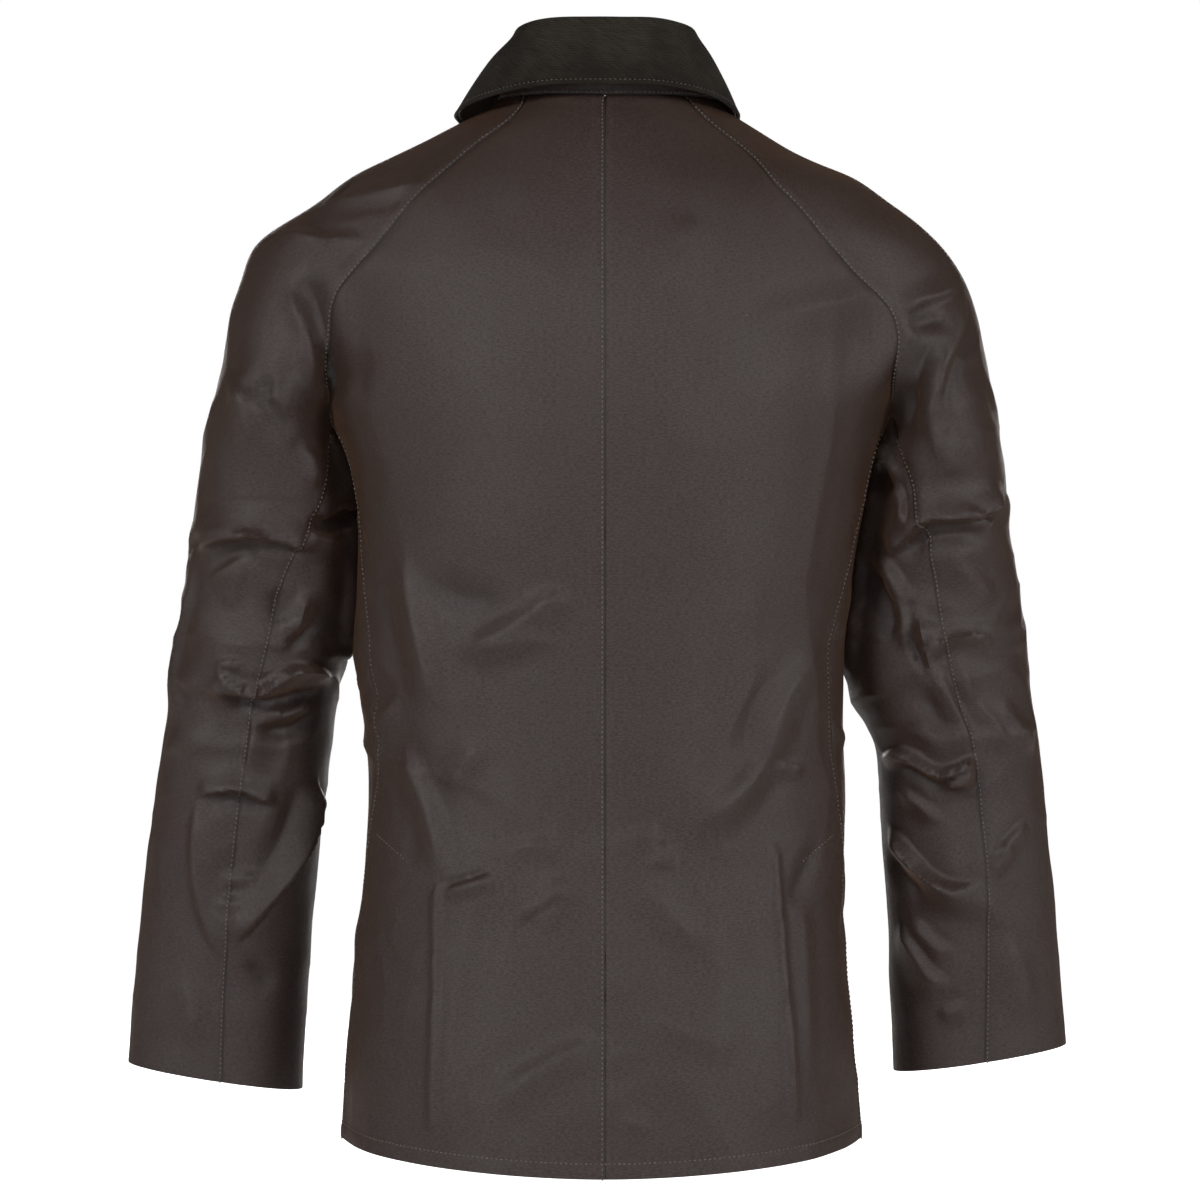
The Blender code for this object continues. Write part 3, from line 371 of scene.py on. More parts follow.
def border_mask(shape: tuple[int, ...]) -> Array:
    """True round the edges of a grid."""
    mask = np.ones(shape[:2], bool)
    mask[1:-1, 1:-1] = False
    return mask


def quads_of(index: Array) -> Array:
    """The quads of a grid of point numbers."""
    corners = [index[:-1, :-1], index[:-1, 1:], index[1:, 1:], index[1:, :-1]]
    return np.stack(corners, axis=-1).reshape(-1, 4)


@dataclass
class Shell:
    """A closed thin shell raised on a grid, its hidden skin coarser than the one that shows.

    Attributes:
        points: the skin that shows.
        normals: its normals, pointing out of the jacket.
        outward: 1 or -1, the grid's sense.
        uv: two lengths for each point, in metres.
        rub: from -1 in a hollow to 1 on a crest; the materials paint shade where it is below 0, and lighten crests
            above it with rub and a painted highlight.
        thickness: of the cloth.
        stride: rows and columns of the skin that shows, to one of the hidden skin's.
        inner: the hidden skin's points on the full grid, if they aren't the thickness below.
    """

    points: Array
    normals: Array
    outward: float
    uv: Array
    rub: Array
    thickness: float
    stride: tuple[int, int] = (2, 2)
    inner: Array | None = None

    def rim(self, outer: Array, hidden: Array) -> list[tuple[int, ...]]:
        """Faces across the cloth's thickness, one side of the grid after the other.

        Args:
            outer: numbers of the points of the skin that shows.
            hidden: those of the hidden skin.

        Returns:
            The faces' corners.
        """
        faces = []
        for turn in range(4):
            edge, below = np.rot90(outer, turn)[0], np.rot90(hidden, turn)[0]
            step = self.stride[1 - turn % 2]
            for k in range(len(below) - 1):
                run = edge[k * step : (k + 1) * step + 1]
                half = (step + 1) // 2
                for j in range(step):
                    faces.append((run[j], below[k if j < half else k + 1], run[j + 1]))
                faces.append((run[half], below[k], below[k + 1]))
        return faces

    def build(self, name: str) -> bpy.types.Object:
        """Makes the shell.

        Args:
            name: its name.

        Returns:
            The object, linked to the scene.
        """
        shape = self.points.shape[:2]
        inner = self.points - self.normals * self.thickness if self.inner is None else self.inner
        inner = inner[:: self.stride[0], :: self.stride[1]]
        outer_index = np.arange(shape[0] * shape[1]).reshape(shape)
        inner_index = np.arange(inner.shape[0] * inner.shape[1]).reshape(inner.shape[:2]) + outer_index.size
        faces = [tuple(f) for f in quads_of(outer_index)]
        faces += [tuple(f[::-1]) for f in quads_of(inner_index)]
        faces += self.rim(outer_index, inner_index)
        if self.outward < 0:
            faces = [f[::-1] for f in faces]
        faces = [tuple(int(k) for k in f) for f in faces]
        mesh = bpy.data.meshes.new(name)
        mesh.from_pydata(np.vstack([self.points.reshape(-1, 3), inner.reshape(-1, 3)]).tolist(), [], faces)
        flat = np.vstack([self.uv.reshape(-1, 2), self.uv[:: self.stride[0], :: self.stride[1]].reshape(-1, 2)])
        corner = np.array([k for f in faces for k in f])
        mesh.uv_layers.new(name="cloth").data.foreach_set("uv", flat[corner].astype(np.float32).ravel())
        # values from which the materials paint shade in hollows and seams, and lighten crests with rub and a painted
        # highlight
        worn = np.concatenate([self.rub.ravel(), np.zeros(inner_index.size)]).astype(np.float32)
        mesh.attributes.new("rub", "FLOAT", "POINT").data.foreach_set("value", worn)
        mesh.shade_smooth()
        mesh.set_sharp_from_angle(angle=FOLD_ANGLE)
        return add_object(name, mesh)


# ---- creases
@dataclass(frozen=True)
class Crease:
    """A soft ridge or trough, drawn on one side of the jacket.

    Attributes:
        side: the side that it is seen from.
        path: its points as seen from there: X or, on the left and right, Y, then Z.
        half_width: from its crest to where it has nearly gone.
        height: along the cloth's normal, below 0 for a trough.
        lean: above 0 makes the flank on the left of its run the steeper one, from -1 to 1.
        taper: the share of its run over which each end fades.
        edge: 2 for a rounded crest, down to 1 for a sharp one.
    """

    side: Facing
    path: tuple[tuple[float, float], ...]
    half_width: float
    height: float
    lean: float
    taper: float
    edge: float

    def seen_line(self, count: int = 28) -> Array:
        """The path as a smooth line on a plane square to the view, well outside the jacket.

        Args:
            count: how many points it gets.

        Returns:
            The points.
        """
        flat = smooth_line(np.array(self.path), count)
        view = np.array(self.side.value)
        across = np.array([abs(view[1]), abs(view[0]), 0.0])
        return flat[:, :1] * across + flat[:, 1:] * np.array([0.0, 0.0, 1.0]) + view


# One row for each crease: half width and height in mm, lean, taper, edge, then across and up of each point in mm.
CREASE_ROWS = {
    Facing.BEHIND: """
10 3.6 .3 .3 1.4 120 -61 145 -67 177 -72 204 -77
4 -2.4 0 .3 1.4 177 -55 183 -63 189 -73
8 3.4 .35 .3 1.3 235 -91 205 -98 158 -104
7 -2.4 0 .35 1.5 214 -79 199 -90 190 -108
8.6 -7.98 -.2 .25 1.3 214 -119 201 -147 193 -175 190 -215
6.9 4.18 .34 .35 1.3 220 -132 206 -167 198 -203
8.6 -6.46 .2 .35 1.3 225 -190 235 -210 229 -224 214 -236
11.2 4.18 .34 .4 1.3 256 -178 248 -216 253 -256
6.9 4.56 .34 .4 1.3 214 -240 203 -256 206 -276
7.7 8.74 -.75 .2 1.25 289 -315 265 -307 239 -304 221 -310 202 -316
7.8 -5.32 0 .35 1.3 278 -323 256 -316 238 -313
5.1 4.56 .51 .3 1.3 258 -310 247 -302 237 -305 231 -313
5.1 3.8 .51 .35 1.3 279 -338 263 -326 246 -320
6.9 3.42 .34 .35 1.3 252 -325 259 -342 265 -358
7.7 3.42 .34 .35 1.3 265 -194 248 -212 229 -228 220 -245
5.1 4.56 .51 .3 1.3 220 -375 215 -358 209 -344
4.7 -4.18 0 .3 1.3 225 -387 216 -379 204 -363
4.3 4.18 .51 .3 1.3 274 -398 266 -393 252 -396
5.1 4.18 .51 .35 1.3 272 -401 266 -416 256 -425
6.2 -6.84 .3 .25 1.3 205 -288 196 -296 187 -292 174 -281
6 5.32 .51 .35 1.3 208 -297 198 -306 184 -304
7.7 5.7 .51 .35 1.3 231 -354 222 -367 214 -354 209 -338
6.2 -4.56 0 .4 1.3 228 -338 231 -354 228 -375
7.7 10.64 .75 .15 1.2 273 -395 262 -403 245 -410 227 -400 211 -396 193 -408
7 -8.74 .2 .2 1.3 266 -412 252 -420 237 -421 217 -419 198 -409
7.8 -7.22 0 .3 1.3 247 -435 233 -442 218 -438 201 -426
6 6.46 .51 .3 1.3 242 -427 222 -428 204 -419
6.9 5.7 -.51 .3 1.3 252 -420 248 -441 251 -460 253 -477
6 7.98 -.68 .2 1.2 289 -486 271 -484 257 -483 243 -490 231 -492
6.2 -4.18 0 .35 1.3 284 -493 259 -492 234 -500
10.3 10.26 .75 .15 1.25 205 -474 207 -499 215 -526 230 -552 249 -576 265 -594
9.4 -5.32 0 .3 1.3 218 -475 222 -504 237 -535 254 -558
8.6 6.08 -.59 .25 1.3 287 -487 290 -529 287 -562 278 -590 269 -606
4.7 3.42 0 .4 1.3 274 -550 260 -546 243 -548
4.7 3.42 0 .4 1.3 277 -567 264 -564 255 -567
12 4.94 .51 .3 1.3 291 -305 294 -355 304 -404 293 -446
7 -3.42 0 .4 1.3 258 -604 245 -614 236 -631
9.4 3.04 0 .4 1.3 305 -613 294 -638 298 -672
6 4.37 -.51 .3 1.3 -205 -155 -216 -144 -231 -139 -249 -128
7 -4.18 0 .3 1.3 -209 -163 -218 -159 -236 -154
10.1 -9.5 .2 .3 1.3 -230 -166 -217 -192 -211 -215 -217 -236
9.4 7.98 .59 .25 1.3 -252 -131 -244 -162 -232 -192 -229 -220 -233 -256
7.8 3.8 0 .4 1.3 -239 -216 -237 -240 -243 -268
8.6 11.4 -.75 .15 1.2 -197 -320 -212 -305 -226 -294 -245 -293 -263 -287 -280 -279
8.6 -7.22 0 .25 1.3 -204 -325 -223 -308 -248 -304 -274 -297
5.1 4.94 .51 .35 1.3 -247 -291 -259 -297 -274 -289
7 -6.46 0 .3 1.3 -199 -232 -193 -251 -197 -268 -208 -275
5.5 4.94 0 .35 1.3 -201 -235 -201 -255 -207 -268
9.4 -7.98 .2 .3 1.3 -179 -321 -191 -338 -200 -358 -196 -383
8.6 6.46 .51 .3 1.3 -187 -315 -204 -338 -211 -362 -210 -388
6.9 5.32 .34 .3 1.3 -212 -354 -223 -366 -230 -386 -217 -381
5.1 5.32 .59 .25 1.25 -226 -385 -242 -375 -259 -374 -274 -380
5.1 4.56 .68 .3 1.3 -219 -354 -226 -385 -233 -408
3.9 -5.32 0 .3 1.3 -199 -334 -211 -354 -215 -375 -234 -409
5.1 4.18 .51 .35 1.3 -246 -391 -255 -409 -261 -425
5.1 3.8 .51 .35 1.3 -257 -416 -272 -433 -283 -451
4.3 5.32 .68 .3 1.3 -239 -481 -249 -474 -260 -468
5.1 4.18 .51 .3 1.3 -206 -482 -226 -496 -238 -508
5.1 4.94 .68 .25 1.3 -204 -514 -219 -533 -237 -549 -261 -560
5.1 4.56 .51 .3 1.3 -271 -533 -286 -519 -298 -506
4.3 4.56 .51 .3 1.3 -246 -282 -257 -290 -271 -296
5.1 4.94 .51 .3 1.3 -199 -264 -208 -282 -212 -299
7.7 3.42 .34 .35 1.3 -238 -321 -258 -334 -275 -354
7.7 5.7 .51 .3 1.3 -225 -391 -239 -413 -250 -434 -259 -456
7.8 -4.56 0 .35 1.3 -220 -408 -232 -429 -247 -455
7.7 10.26 .68 .15 1.2 -197 -464 -210 -457 -223 -463 -236 -470 -251 -465 -264 -462
6.2 -7.22 0 .25 1.3 -200 -474 -215 -470 -231 -478 -240 -481 -257 -474
5.1 5.7 .51 .35 1.3 -233 -482 -246 -478 -260 -474
8.6 7.98 .68 .2 1.3 -200 -510 -215 -526 -230 -544 -247 -552 -268 -549
7.8 -4.94 0 .3 1.3 -201 -526 -215 -547 -231 -561
9.4 4.18 .34 .35 1.3 -270 -420 -289 -436 -306 -461
6.9 3.8 .34 .35 1.3 -289 -522 -282 -534 -272 -544
7.7 6.46 .59 .25 1.3 -209 -578 -222 -600 -235 -618 -247 -626
6.9 4.94 .51 .3 1.3 -218 -575 -232 -591 -247 -603
6 3.42 .34 .35 1.3 -236 -645 -247 -641 -259 -638
11.2 3.42 .34 .35 1.3 -277 -579 -295 -613 -300 -656
10.2 5.58 .3 .3 1.3 138 -308 133 -350 120 -405 113 -433
9.3 5.89 .3 .3 1.3 142 -447 126 -481 117 -508 113 -544
3.4 3.41 .3 .08 1.3 115 -542 116 -610 117 -677 118 -717
2.9 -3.72 .3 .25 1.3 115 -546 98 -540 77 -534
6 3.1 0 .3 1.3 113 -551 92 -544 72 -538
4.2 -2.79 .3 .3 1.3 61 -577 44 -562 25 -551
7.6 2.48 .3 .3 1.3 73 -526 55 -518 31 -520
6.8 2.48 .3 .3 1.3 -5 -517 -21 -511 -39 -507
7.6 2.48 .3 .3 1.3 73 -684 41 -665 6 -645
9.3 2.17 0 .3 1.3 -34 -628 -58 -645 -93 -658
7.6 2.48 .3 .3 1.3 173 -419 163 -428 139 -419
7.6 2.48 .3 .3 1.3 92 -391 58 -377 21 -384
9.3 3.72 0 .35 1.3 56 -573 39 -556 23 -536
10.2 5.89 .3 .25 1.3 104 -392 75 -374 51 -360 40 -351 15 -361
9.3 4.65 0 .35 1.3 111 -482 98 -465 84 -444
16.1 6.82 .3 .25 1.3 -155 -383 -125 -414 -109 -458 -80 -491 -50 -511
10.2 -4.03 0 .3 1.3 -138 -391 -101 -424 -94 -461 -58 -486
5.1 4.03 .3 .35 1.3 -115 -463 -140 -467
3.4 3.41 -.3 .08 1.3 -115 -513 -118 -556 -122 -607 -127 -665 -128 -712
7.6 2.33 0 .3 1.3 -134 -543 -137 -598 -139 -659 -141 -700
7.6 -2.79 0 .3 1.3 -126 -564 -137 -538 -151 -515
10.2 3.72 0 .35 1.3 -22 -539 -43 -562 -66 -590
6.8 3.72 0 .35 1.3 -42 -512 -37 -535
14 2.2 0 .35 1.6 -59 -82 -52 -112 -43 -141
11.9 3.36 .2 .35 1.3 -90 -161 -147 -148 -197 -134
11.9 3.72 0 .35 1.3 86 -698 44 -672 2 -647
6.8 2.48 0 .35 1.3 -10 -700 -32 -709
7.6 1.2 0 .3 1.3 -154 -109 -156 -171 -155 -233 -142 -308 -134 -377
11.9 -2.79 0 .35 1.3 131 -322 92 -350 58 -339
11.9 2.48 0 .35 1.3 -65 -554 -78 -609 -73 -676
    """,
    Facing.AHEAD: """
10 2.4 .2 .35 1.6 172 -185 120 -228 58 -262
10 2.6 -.2 .35 1.6 -176 -192 -131 -246 -82 -288
9 2.8 .25 .3 1.6 190 -322 142 -352 90 -349 52 -362
9 2.6 -.25 .35 1.6 -187 -345 -128 -372 -61 -360
8 3 .3 .3 1.6 188 -430 139 -452 83 -440
9 2.6 .3 .3 1.6 -191 -452 -150 -481 -101 -478 -60 -459
10 2 0 .2 1.6 112 -470 101 -560 106 -652 103 -730
11 2 0 .2 1.6 -118 -500 -124 -596 -115 -722
10 1.4 0 .35 1.6 58 -540 64 -620 55 -690
10 1.8 0 .4 1.6 -171 -560 -163 -640
10 1.4 0 .35 1.6 -61 -400 -47 -520 -56 -610
10 -2.6 0 .35 1.6 198 -150 214 -190 205 -236
8 3.2 .3 .3 1.6 283 -330 243 -322 200 -345
7 3.4 .3 .3 1.6 287 -410 247 -388 205 -398
7 2.8 .2 .3 1.6 284 -452 250 -468 212 -456
8 2.6 .3 .3 1.6 222 -520 262 -560 288 -600
10 -2.6 0 .35 1.6 -196 -152 -220 -196 -209 -251
8 3 .3 .3 1.6 -276 -290 -238 -304 -197 -290
7 3.4 .3 .3 1.6 -282 -378 -243 -402 -204 -386
7 3 .2 .3 1.6 -283 -440 -250 -438 -212 -462
8 2.4 .3 .3 1.6 -226 -530 -262 -545 -292 -530
    """,
    Facing.LEFT: """
7 2.6 .3 .3 1.6 60 -312 20 -300 -30 -318
7 3 .3 .3 1.6 55 -398 18 -410 -26 -396
7 2.4 .2 .3 1.6 50 -470 10 -452 -30 -461
9 1.8 0 .4 1.6 30 -560 0 -610 -20 -650
10 1.8 0 .4 1.6 40 -190 10 -226 -32 -240
    """,
    Facing.RIGHT: """
8 2.8 .3 .3 1.6 55 -288 16 -276 -28 -300
7 2.6 .3 .3 1.6 52 -362 14 -371 -30 -352
7 2.8 .2 .3 1.6 50 -432 8 -446 -32 -430
9 1.8 0 .4 1.6 40 -510 0 -560 -24 -600
10 1.8 0 .4 1.6 36 -180 4 -212 -36 -222
    """,
}


def crease_of(side: Facing, row: str) -> Crease:
    """A crease from its row of the table.

    Args:
        side: the side that it is seen from.
        row: its numbers.

    Returns:
        The crease.
    """
    half_width, height, lean, taper, edge, *flat = map(float, row.split())
    half_width, height, *flat = (round(value / 1000, 6) for value in (half_width, height, *flat))
    return Crease(side, tuple(zip(flat[::2], flat[1::2])), half_width, height, lean, taper, edge)


CREASES = tuple(crease_of(side, row) for side, rows in CREASE_ROWS.items() for row in rows.strip().splitlines())
CREASE_REACH = 3.2  # a crease moves nothing farther from its line than this many half widths
BESIDE_AT, BESIDE_WIDTH, BESIDE_DEPTH = 1.7, 0.8, 0.16  # the shallow dip beside a crest, in half widths and heights


class CreaseField:
    """Works out how far the creases move any point of the cloth."""

    def __init__(self, panels: list["Panel"], creases: tuple[Crease, ...]) -> None:
        """Finds each crease's line on the cloth.

        Args:
            panels: the panels before they are creased.
            creases: the creases.
        """
        corners, faces, owners = [], [], []
        for panel in panels:
            coarse = panel.points[::2, ::2]
            index = np.arange(coarse.shape[0] * coarse.shape[1]).reshape(coarse.shape[:2]) + len(corners)
            quads = quads_of(index).tolist()
            corners += coarse.reshape(-1, 3).tolist()
            faces += quads
            owners += [panel.form] * len(quads)
        tree = BVHTree.FromPolygons(corners, faces)
        self.lines: list[tuple[Crease, Array, set[str]]] = []
        for crease in creases:
            view, found, forms = Vector(crease.side.value), [], set()
            for start in crease.seen_line():
                hit, _, face, _ = tree.ray_cast(Vector(start), -view)
                if hit is not None:
                    found.append(hit)
                    forms.add(owners[face])
            if len(found) > 2:
                self.lines.append((crease, np.array(found), forms))
            else:
                LOG.warning("a crease at %s misses the cloth", crease.path[0])

    def heights(self, points: Array, normals: Array, form: str) -> Array:
        """How far the creases of one form move its points along their normals.

        Args:
            points: a grid of points.
            normals: its normals.
            form: the form's name, so that a sleeve's creases leave the torso beside it alone.

        Returns:
            The distances.
        """
        total = np.zeros(points.shape[:2])
        for crease, line, forms in self.lines:
            if form not in forms:
                continue
            reach = crease.half_width * CREASE_REACH
            near = ((points > line.min(0) - reach) & (points < line.max(0) + reach)).all(-1)
            if near.any():
                total[near] += self.one(crease, line, points[near], normals[near])
        return total

    @staticmethod
    def one(crease: Crease, line: Array, points: Array, normals: Array) -> Array:
        """One crease's heights at a list of points.

        Args:
            crease: the crease.
            line: its line on the cloth.
            points: the points.
            normals: their normals.

        Returns:
            The heights.
        """
        best = np.full(len(points), np.inf)
        share, left = np.zeros(len(points)), np.zeros(len(points))
        for k, (a, b) in enumerate(zip(line[:-1], line[1:])):
            step = b - a
            t = np.clip((points - a) @ step / max(step @ step, TINY), 0, 1)
            offset = points - a - t[:, None] * step
            distance = np.linalg.norm(offset, axis=-1)
            nearer = distance < best
            best = np.where(nearer, distance, best)
            share = np.where(nearer, (k + t) / (len(line) - 1), share)
            left = np.where(nearer, (offset * np.cross(normals, step)).sum(-1), left)
        across = best / (crease.half_width * (1 - crease.lean * np.sign(left)))
        fade = ease(share / crease.taper) * ease((1 - share) / crease.taper)
        crest = np.exp(-(across**crease.edge))
        beside = np.exp(-(((across - BESIDE_AT) / BESIDE_WIDTH) ** 2))
        return crease.height * (crest - BESIDE_DEPTH * beside) * fade


# ---- panels
class Edge(Enum):
    """How a panel's edge is finished."""

    ON_TOP = "laps over its neighbour, topstitched"
    UNDER = "lies under its neighbour"
    HEM = "turned up and stitched"
    TURNED = "turned in, with no stitches that show"


LAP_WIDTH, LAP_RISE, LAP_FADE = 0.0085, 0.00038, 0.006  # the seam's extra layer, and over what width it ends
GROOVE, GROOVE_WIDTH, GROOVE_SIDE = 0.0007, 0.0010, 0.0032  # depth of a seam, its width on top and beside it
DIMPLE, DIMPLE_WIDTH = 0.00028, 0.0008  # how deep a row of stitches pulls the cloth in, and how wide
PUCKER, PUCKER_START, PUCKER_REACH, PUCKER_SCALE = 0.00045, 0.003, 0.012, 95.0  # height, from, to, to a metre
HEM_LIP, HEM_FADE = 0.0015, 0.0025  # how far a hem's layer goes past its stitches, and over what width it ends
HEM_ROPES, HEM_DIMPLE = 1.3, 1.6  # a hem's puckers and the width of its stitches' dimple, against a seam's
FOLD_AT, FOLD_WIDTH, FOLD_RISE = 0.002, 0.004, 0.4  # the roll of an edge that is only turned in
UNDER_PUCKER = 0.6  # puckers of the layer below, against those on top
DRAPE = ((14.0, 0.0011), (33.0, 0.00045))  # scale of slow unevenness, per metre, and its height
FADED = 0.02  # a fold weaker than this share isn't worked out
BEND_SCALE, BEND_UP, BEND_ASIDE = 0.6, 1.1, 0.5  # how small folds wander, in waves of the folds
BEND_FROM = (5.2, 1.3, 8.1)  # a place in the noise away from the folds' own
RIDGE_SHARP, RIDGE_MEAN = 1.9, 0.35  # how narrow a small fold's crest is, and what is taken off for an even mean
RIPPLE, RIPPLE_SCALE = 0.35, 2.3  # finer unevenness on small folds


@dataclass(frozen=True)
class Rumples:
    """Small folds that cover a part of a panel.

    Attributes:
        scale: folds to a metre, across, through and up.
        height: of the largest.
        middle: height at which they are strongest.
        spread: how far up and down from there they fade.
        seed: shifts the pattern.
    """

    scale: Point
    height: float
    middle: float
    spread: float
    seed: float = 0.0

    def heights(self, points: Array) -> Array:
        """The folds' heights.

        Args:
            points: a list of points.

        Returns:
            Their heights.
        """
        made = np.zeros(len(points))
        fade = np.exp(-(((points[:, 2] - self.middle) / self.spread) ** 2))
        warped = points * self.scale + self.seed
        for k in np.nonzero(fade > FADED)[0]:
            p = Vector(warped[k])
            bend = noise.noise(p * BEND_SCALE + Vector(BEND_FROM)) * BEND_UP
            p.z += bend
            p.x += bend * BEND_ASIDE
            ridge = 1 - RIDGE_SHARP * abs(noise.noise(p))
            made[k] = max(ridge, 0.0) ** 2 - RIDGE_MEAN + RIPPLE * noise.noise(p * RIPPLE_SCALE)
        return made * fade * self.height


def edge_relief(finish: Edge, distance: Array, unevenness: Array) -> Array:
    """Relief of a seam or hem, by distance from the edge.

    Args:
        finish: how the edge is finished.
        distance: each point's distance from it.
        unevenness: from -1 to 1, where the stitching has drawn the cloth in.

    Returns:
        Heights along the normal.
    """

    def swell(middle: float, width: float) -> Array:
        """A soft rise of height 1 along a line beside the edge."""
        return np.exp(-(((distance - middle) / width) ** 2))

    puckers = PUCKER * unevenness * ease(1 - distance / PUCKER_REACH) * ease(distance / PUCKER_START)
    if finish is Edge.ON_TOP:
        lap = LAP_RISE * ease((LAP_WIDTH + LAP_FADE / 2 - distance) / LAP_FADE)
        return lap + puckers - (GROOVE + LAP_RISE) * swell(0.0, GROOVE_WIDTH) - DIMPLE * swell(STITCH_IN, DIMPLE_WIDTH)
    if finish is Edge.UNDER:
        return puckers * UNDER_PUCKER - GROOVE * swell(0.0, GROOVE_SIDE)
    if finish is Edge.HEM:
        turned = LAP_RISE * ease((HEM_DEPTH + HEM_LIP - distance) / HEM_FADE)
        ropes = HEM_ROPES * PUCKER * unevenness * np.clip(distance / HEM_DEPTH, 0, 1) * ease(2 - distance / HEM_DEPTH)
        return turned + ropes - DIMPLE * HEM_ROPES * swell(HEM_DEPTH, DIMPLE_WIDTH * HEM_DIMPLE)
    return FOLD_RISE * LAP_RISE * swell(FOLD_AT, FOLD_WIDTH)


TURN_FADE = 0.012  # the share of a side over which one kind of seam passes into the next
CREASE_RUB_AND_LIGHT_FULL, TROUGH_SHADE_LEAST = 0.004, -0.4  # a crease this high gets the full rub and painted highlight on its crest; the deepest painted shade in a trough
NEAR, NEAR_SOFT = 6, 0.0002  # a place between points is read from this many, none nearer than this


@dataclass
class Panel:
    """A cut cloth panel.

    Attributes:
        node: the solid it stands for.
        facing: which way its outside looks.
        corner: a place near its grid's first point.
        along: the first row's direction there.
        edges: the finish of each border.
        form: torso, or the sleeve it belongs to.
        cut: width, length and area of its flat cut; not used.
        thickness: of its cloth.
        outward: 1 or -1, its grid's sense.
        meets: the solid's row from which its side columns meet another kind of edge, and their finish there.
        turn: the share of its length at which that row lies.
        free_below: height under which its last column is a vent's edge.
        step: distance between its points.
        rumples: its small folds.
        points: its grid, once it is laid out.
        normals: the points' normals, which point out of the jacket.
        rub: from -1 in a hollow to 1 on a crest; it carries painted shade for hollows and seams, and rub with a
            painted highlight for crests.
        uv: each point's distance along its row and its column.
    """

    node: str
    facing: Facing
    corner: Point
    along: Point
    edges: dict[Border, Edge]
    form: str
    cut: Point
    thickness: float = CLOTH
    outward: float = 1.0
    meets: tuple[int, Edge] | None = None
    turn: float = 1.0
    free_below: float = -9.0
    step: float = 0.0036
    rumples: tuple[Rumples, ...] = ()
    points: Array = field(init=False)
    normals: Array = field(init=False)
    rub: Array = field(init=False)
    uv: Array = field(init=False)

    def lay_out(self) -> None:
        """Reads the grid of the solid and refines it."""
        grid = read_grid(self.node, self.facing, self.corner, self.along, self.thickness)
        normals = grid_normals(grid, 1.0)
        way = np.array(self.facing.value)
        looks = normals * (way if way.any() else grid - grid.mean((0, 1)))
        self.outward = math.copysign(1.0, looks.sum())
        for axis in (0, 1):
            run = run_along(grid, axis).mean(1 - axis)
            if axis == 0 and self.meets:
                self.turn = float(run[self.meets[0]] / run[-1])
            grid = refine(grid, axis, run, axis_stops(run[-1], self.step))
        self.points = grid
        self.normals = grid_normals(grid, self.outward)
        self.uv = np.stack([run_along(grid, 1), run_along(grid, 0)], axis=-1)

    def distance(self, border: Border) -> Array:
        """Each point's distance from a border, along its row or column.

        Args:
            border: the border.

        Returns:
            The distances.
        """
        axis, index = border.value
        run = run_along(self.points, axis)
        return run if index == 0 else np.take(run, [-1], axis=axis) - run

    def relief(self) -> Array:
        """Works out the panel's seams, hems, small folds and slow unevenness.

        Returns:
            Each point's height along its normal.
        """
        flat = self.points.reshape(-1, 3)
        drape = sum(height * noise_at(flat, scale) for scale, height in DRAPE)
        fine = noise_at(self.points, PUCKER_SCALE)
        total = (drape + sum(rumple.heights(flat) for rumple in self.rumples)).reshape(self.points.shape[:2])
        run = run_along(self.points, 0)
        beyond = ease((run / run[-1] - self.turn) / TURN_FADE + 0.5) if self.meets else 0.0
        for border, finish in self.edges.items():
            distance = self.distance(border)
            relief = edge_relief(finish, distance, fine)
            turns = border is Border.LAST_COLUMN or (
                border is Border.FIRST_COLUMN and self.facing is Facing.ALL_ROUND)
            if self.meets and turns:
                relief = relief + (edge_relief(self.meets[1], distance, fine) - relief) * beyond
            total = total + relief
        return total

    def shape(self, field_of: CreaseField) -> None:
        """Moves the points along their normals by the creases and the relief.

        Args:
            field_of: the creases on the cloth.
        """
        creased = field_of.heights(self.points, self.normals, self.form)
        # crests get rub and a painted highlight, troughs painted shade, from the creases' heights
        self.rub = np.clip(creased / CREASE_RUB_AND_LIGHT_FULL, TROUGH_SHADE_LEAST, 1)
        # painted shade along each sewn seam's groove
        for border in self.sewn():
            seam = np.exp(-((self.distance(border) / GROOVE_WIDTH) ** 2))
            if border is Border.LAST_COLUMN:
                seam *= self.points[..., 2] > self.free_below
            self.rub = self.rub * (1 - seam) - seam
        self.points = self.points + self.normals * (creased + self.relief())[..., None]
        self.normals = grid_normals(self.points, self.outward)

    def tuck(self) -> None:
        """Takes each sewn border a little past its seam, the under one below the other."""
        for border in self.sewn():
            axis, index = border.value
            edge, beside = (slice(0, 1), slice(1, 2)) if index == 0 else (slice(-1, None), slice(-2, -1))
            if axis == 1:
                edge, beside = (slice(None), edge), (slice(None), beside)
            out = unit(self.points[edge] - self.points[beside])
            low = TUCK if self.edges[border] is Edge.UNDER else 0.0
            sewn = np.where(self.points[edge][..., 2:] > self.free_below, 1.0, 0.0)
            if border is not Border.LAST_COLUMN:
                sewn = 1.0
            self.points[edge] += (out * TUCK - self.normals[edge] * low) * sewn

    def sewn(self) -> list[Border]:
        """The borders that are sewn to another panel, or to each other."""
        return [border for border, finish in self.edges.items() if finish in (Edge.ON_TOP, Edge.UNDER)]

    def draw_in(self, moves: dict[Border, Array]) -> None:
        """Moves borders, with the cloth beside them.

        Args:
            moves: each border's moves, point by point.
        """
        total = np.zeros_like(self.points)
        for border, move in moves.items():
            weight = ease(1 - self.distance(border) / MEET_FADE)[..., None]
            total += weight * np.expand_dims(move, border.value[0])
        self.points = self.points + total
        self.normals = grid_normals(self.points, self.outward)

    def build(self) -> bpy.types.Object:
        """The panel's shell."""
        shell = Shell(self.points, self.normals, self.outward, self.uv, self.rub, self.thickness)
        return shell.build(f"{self.node}_cloth")

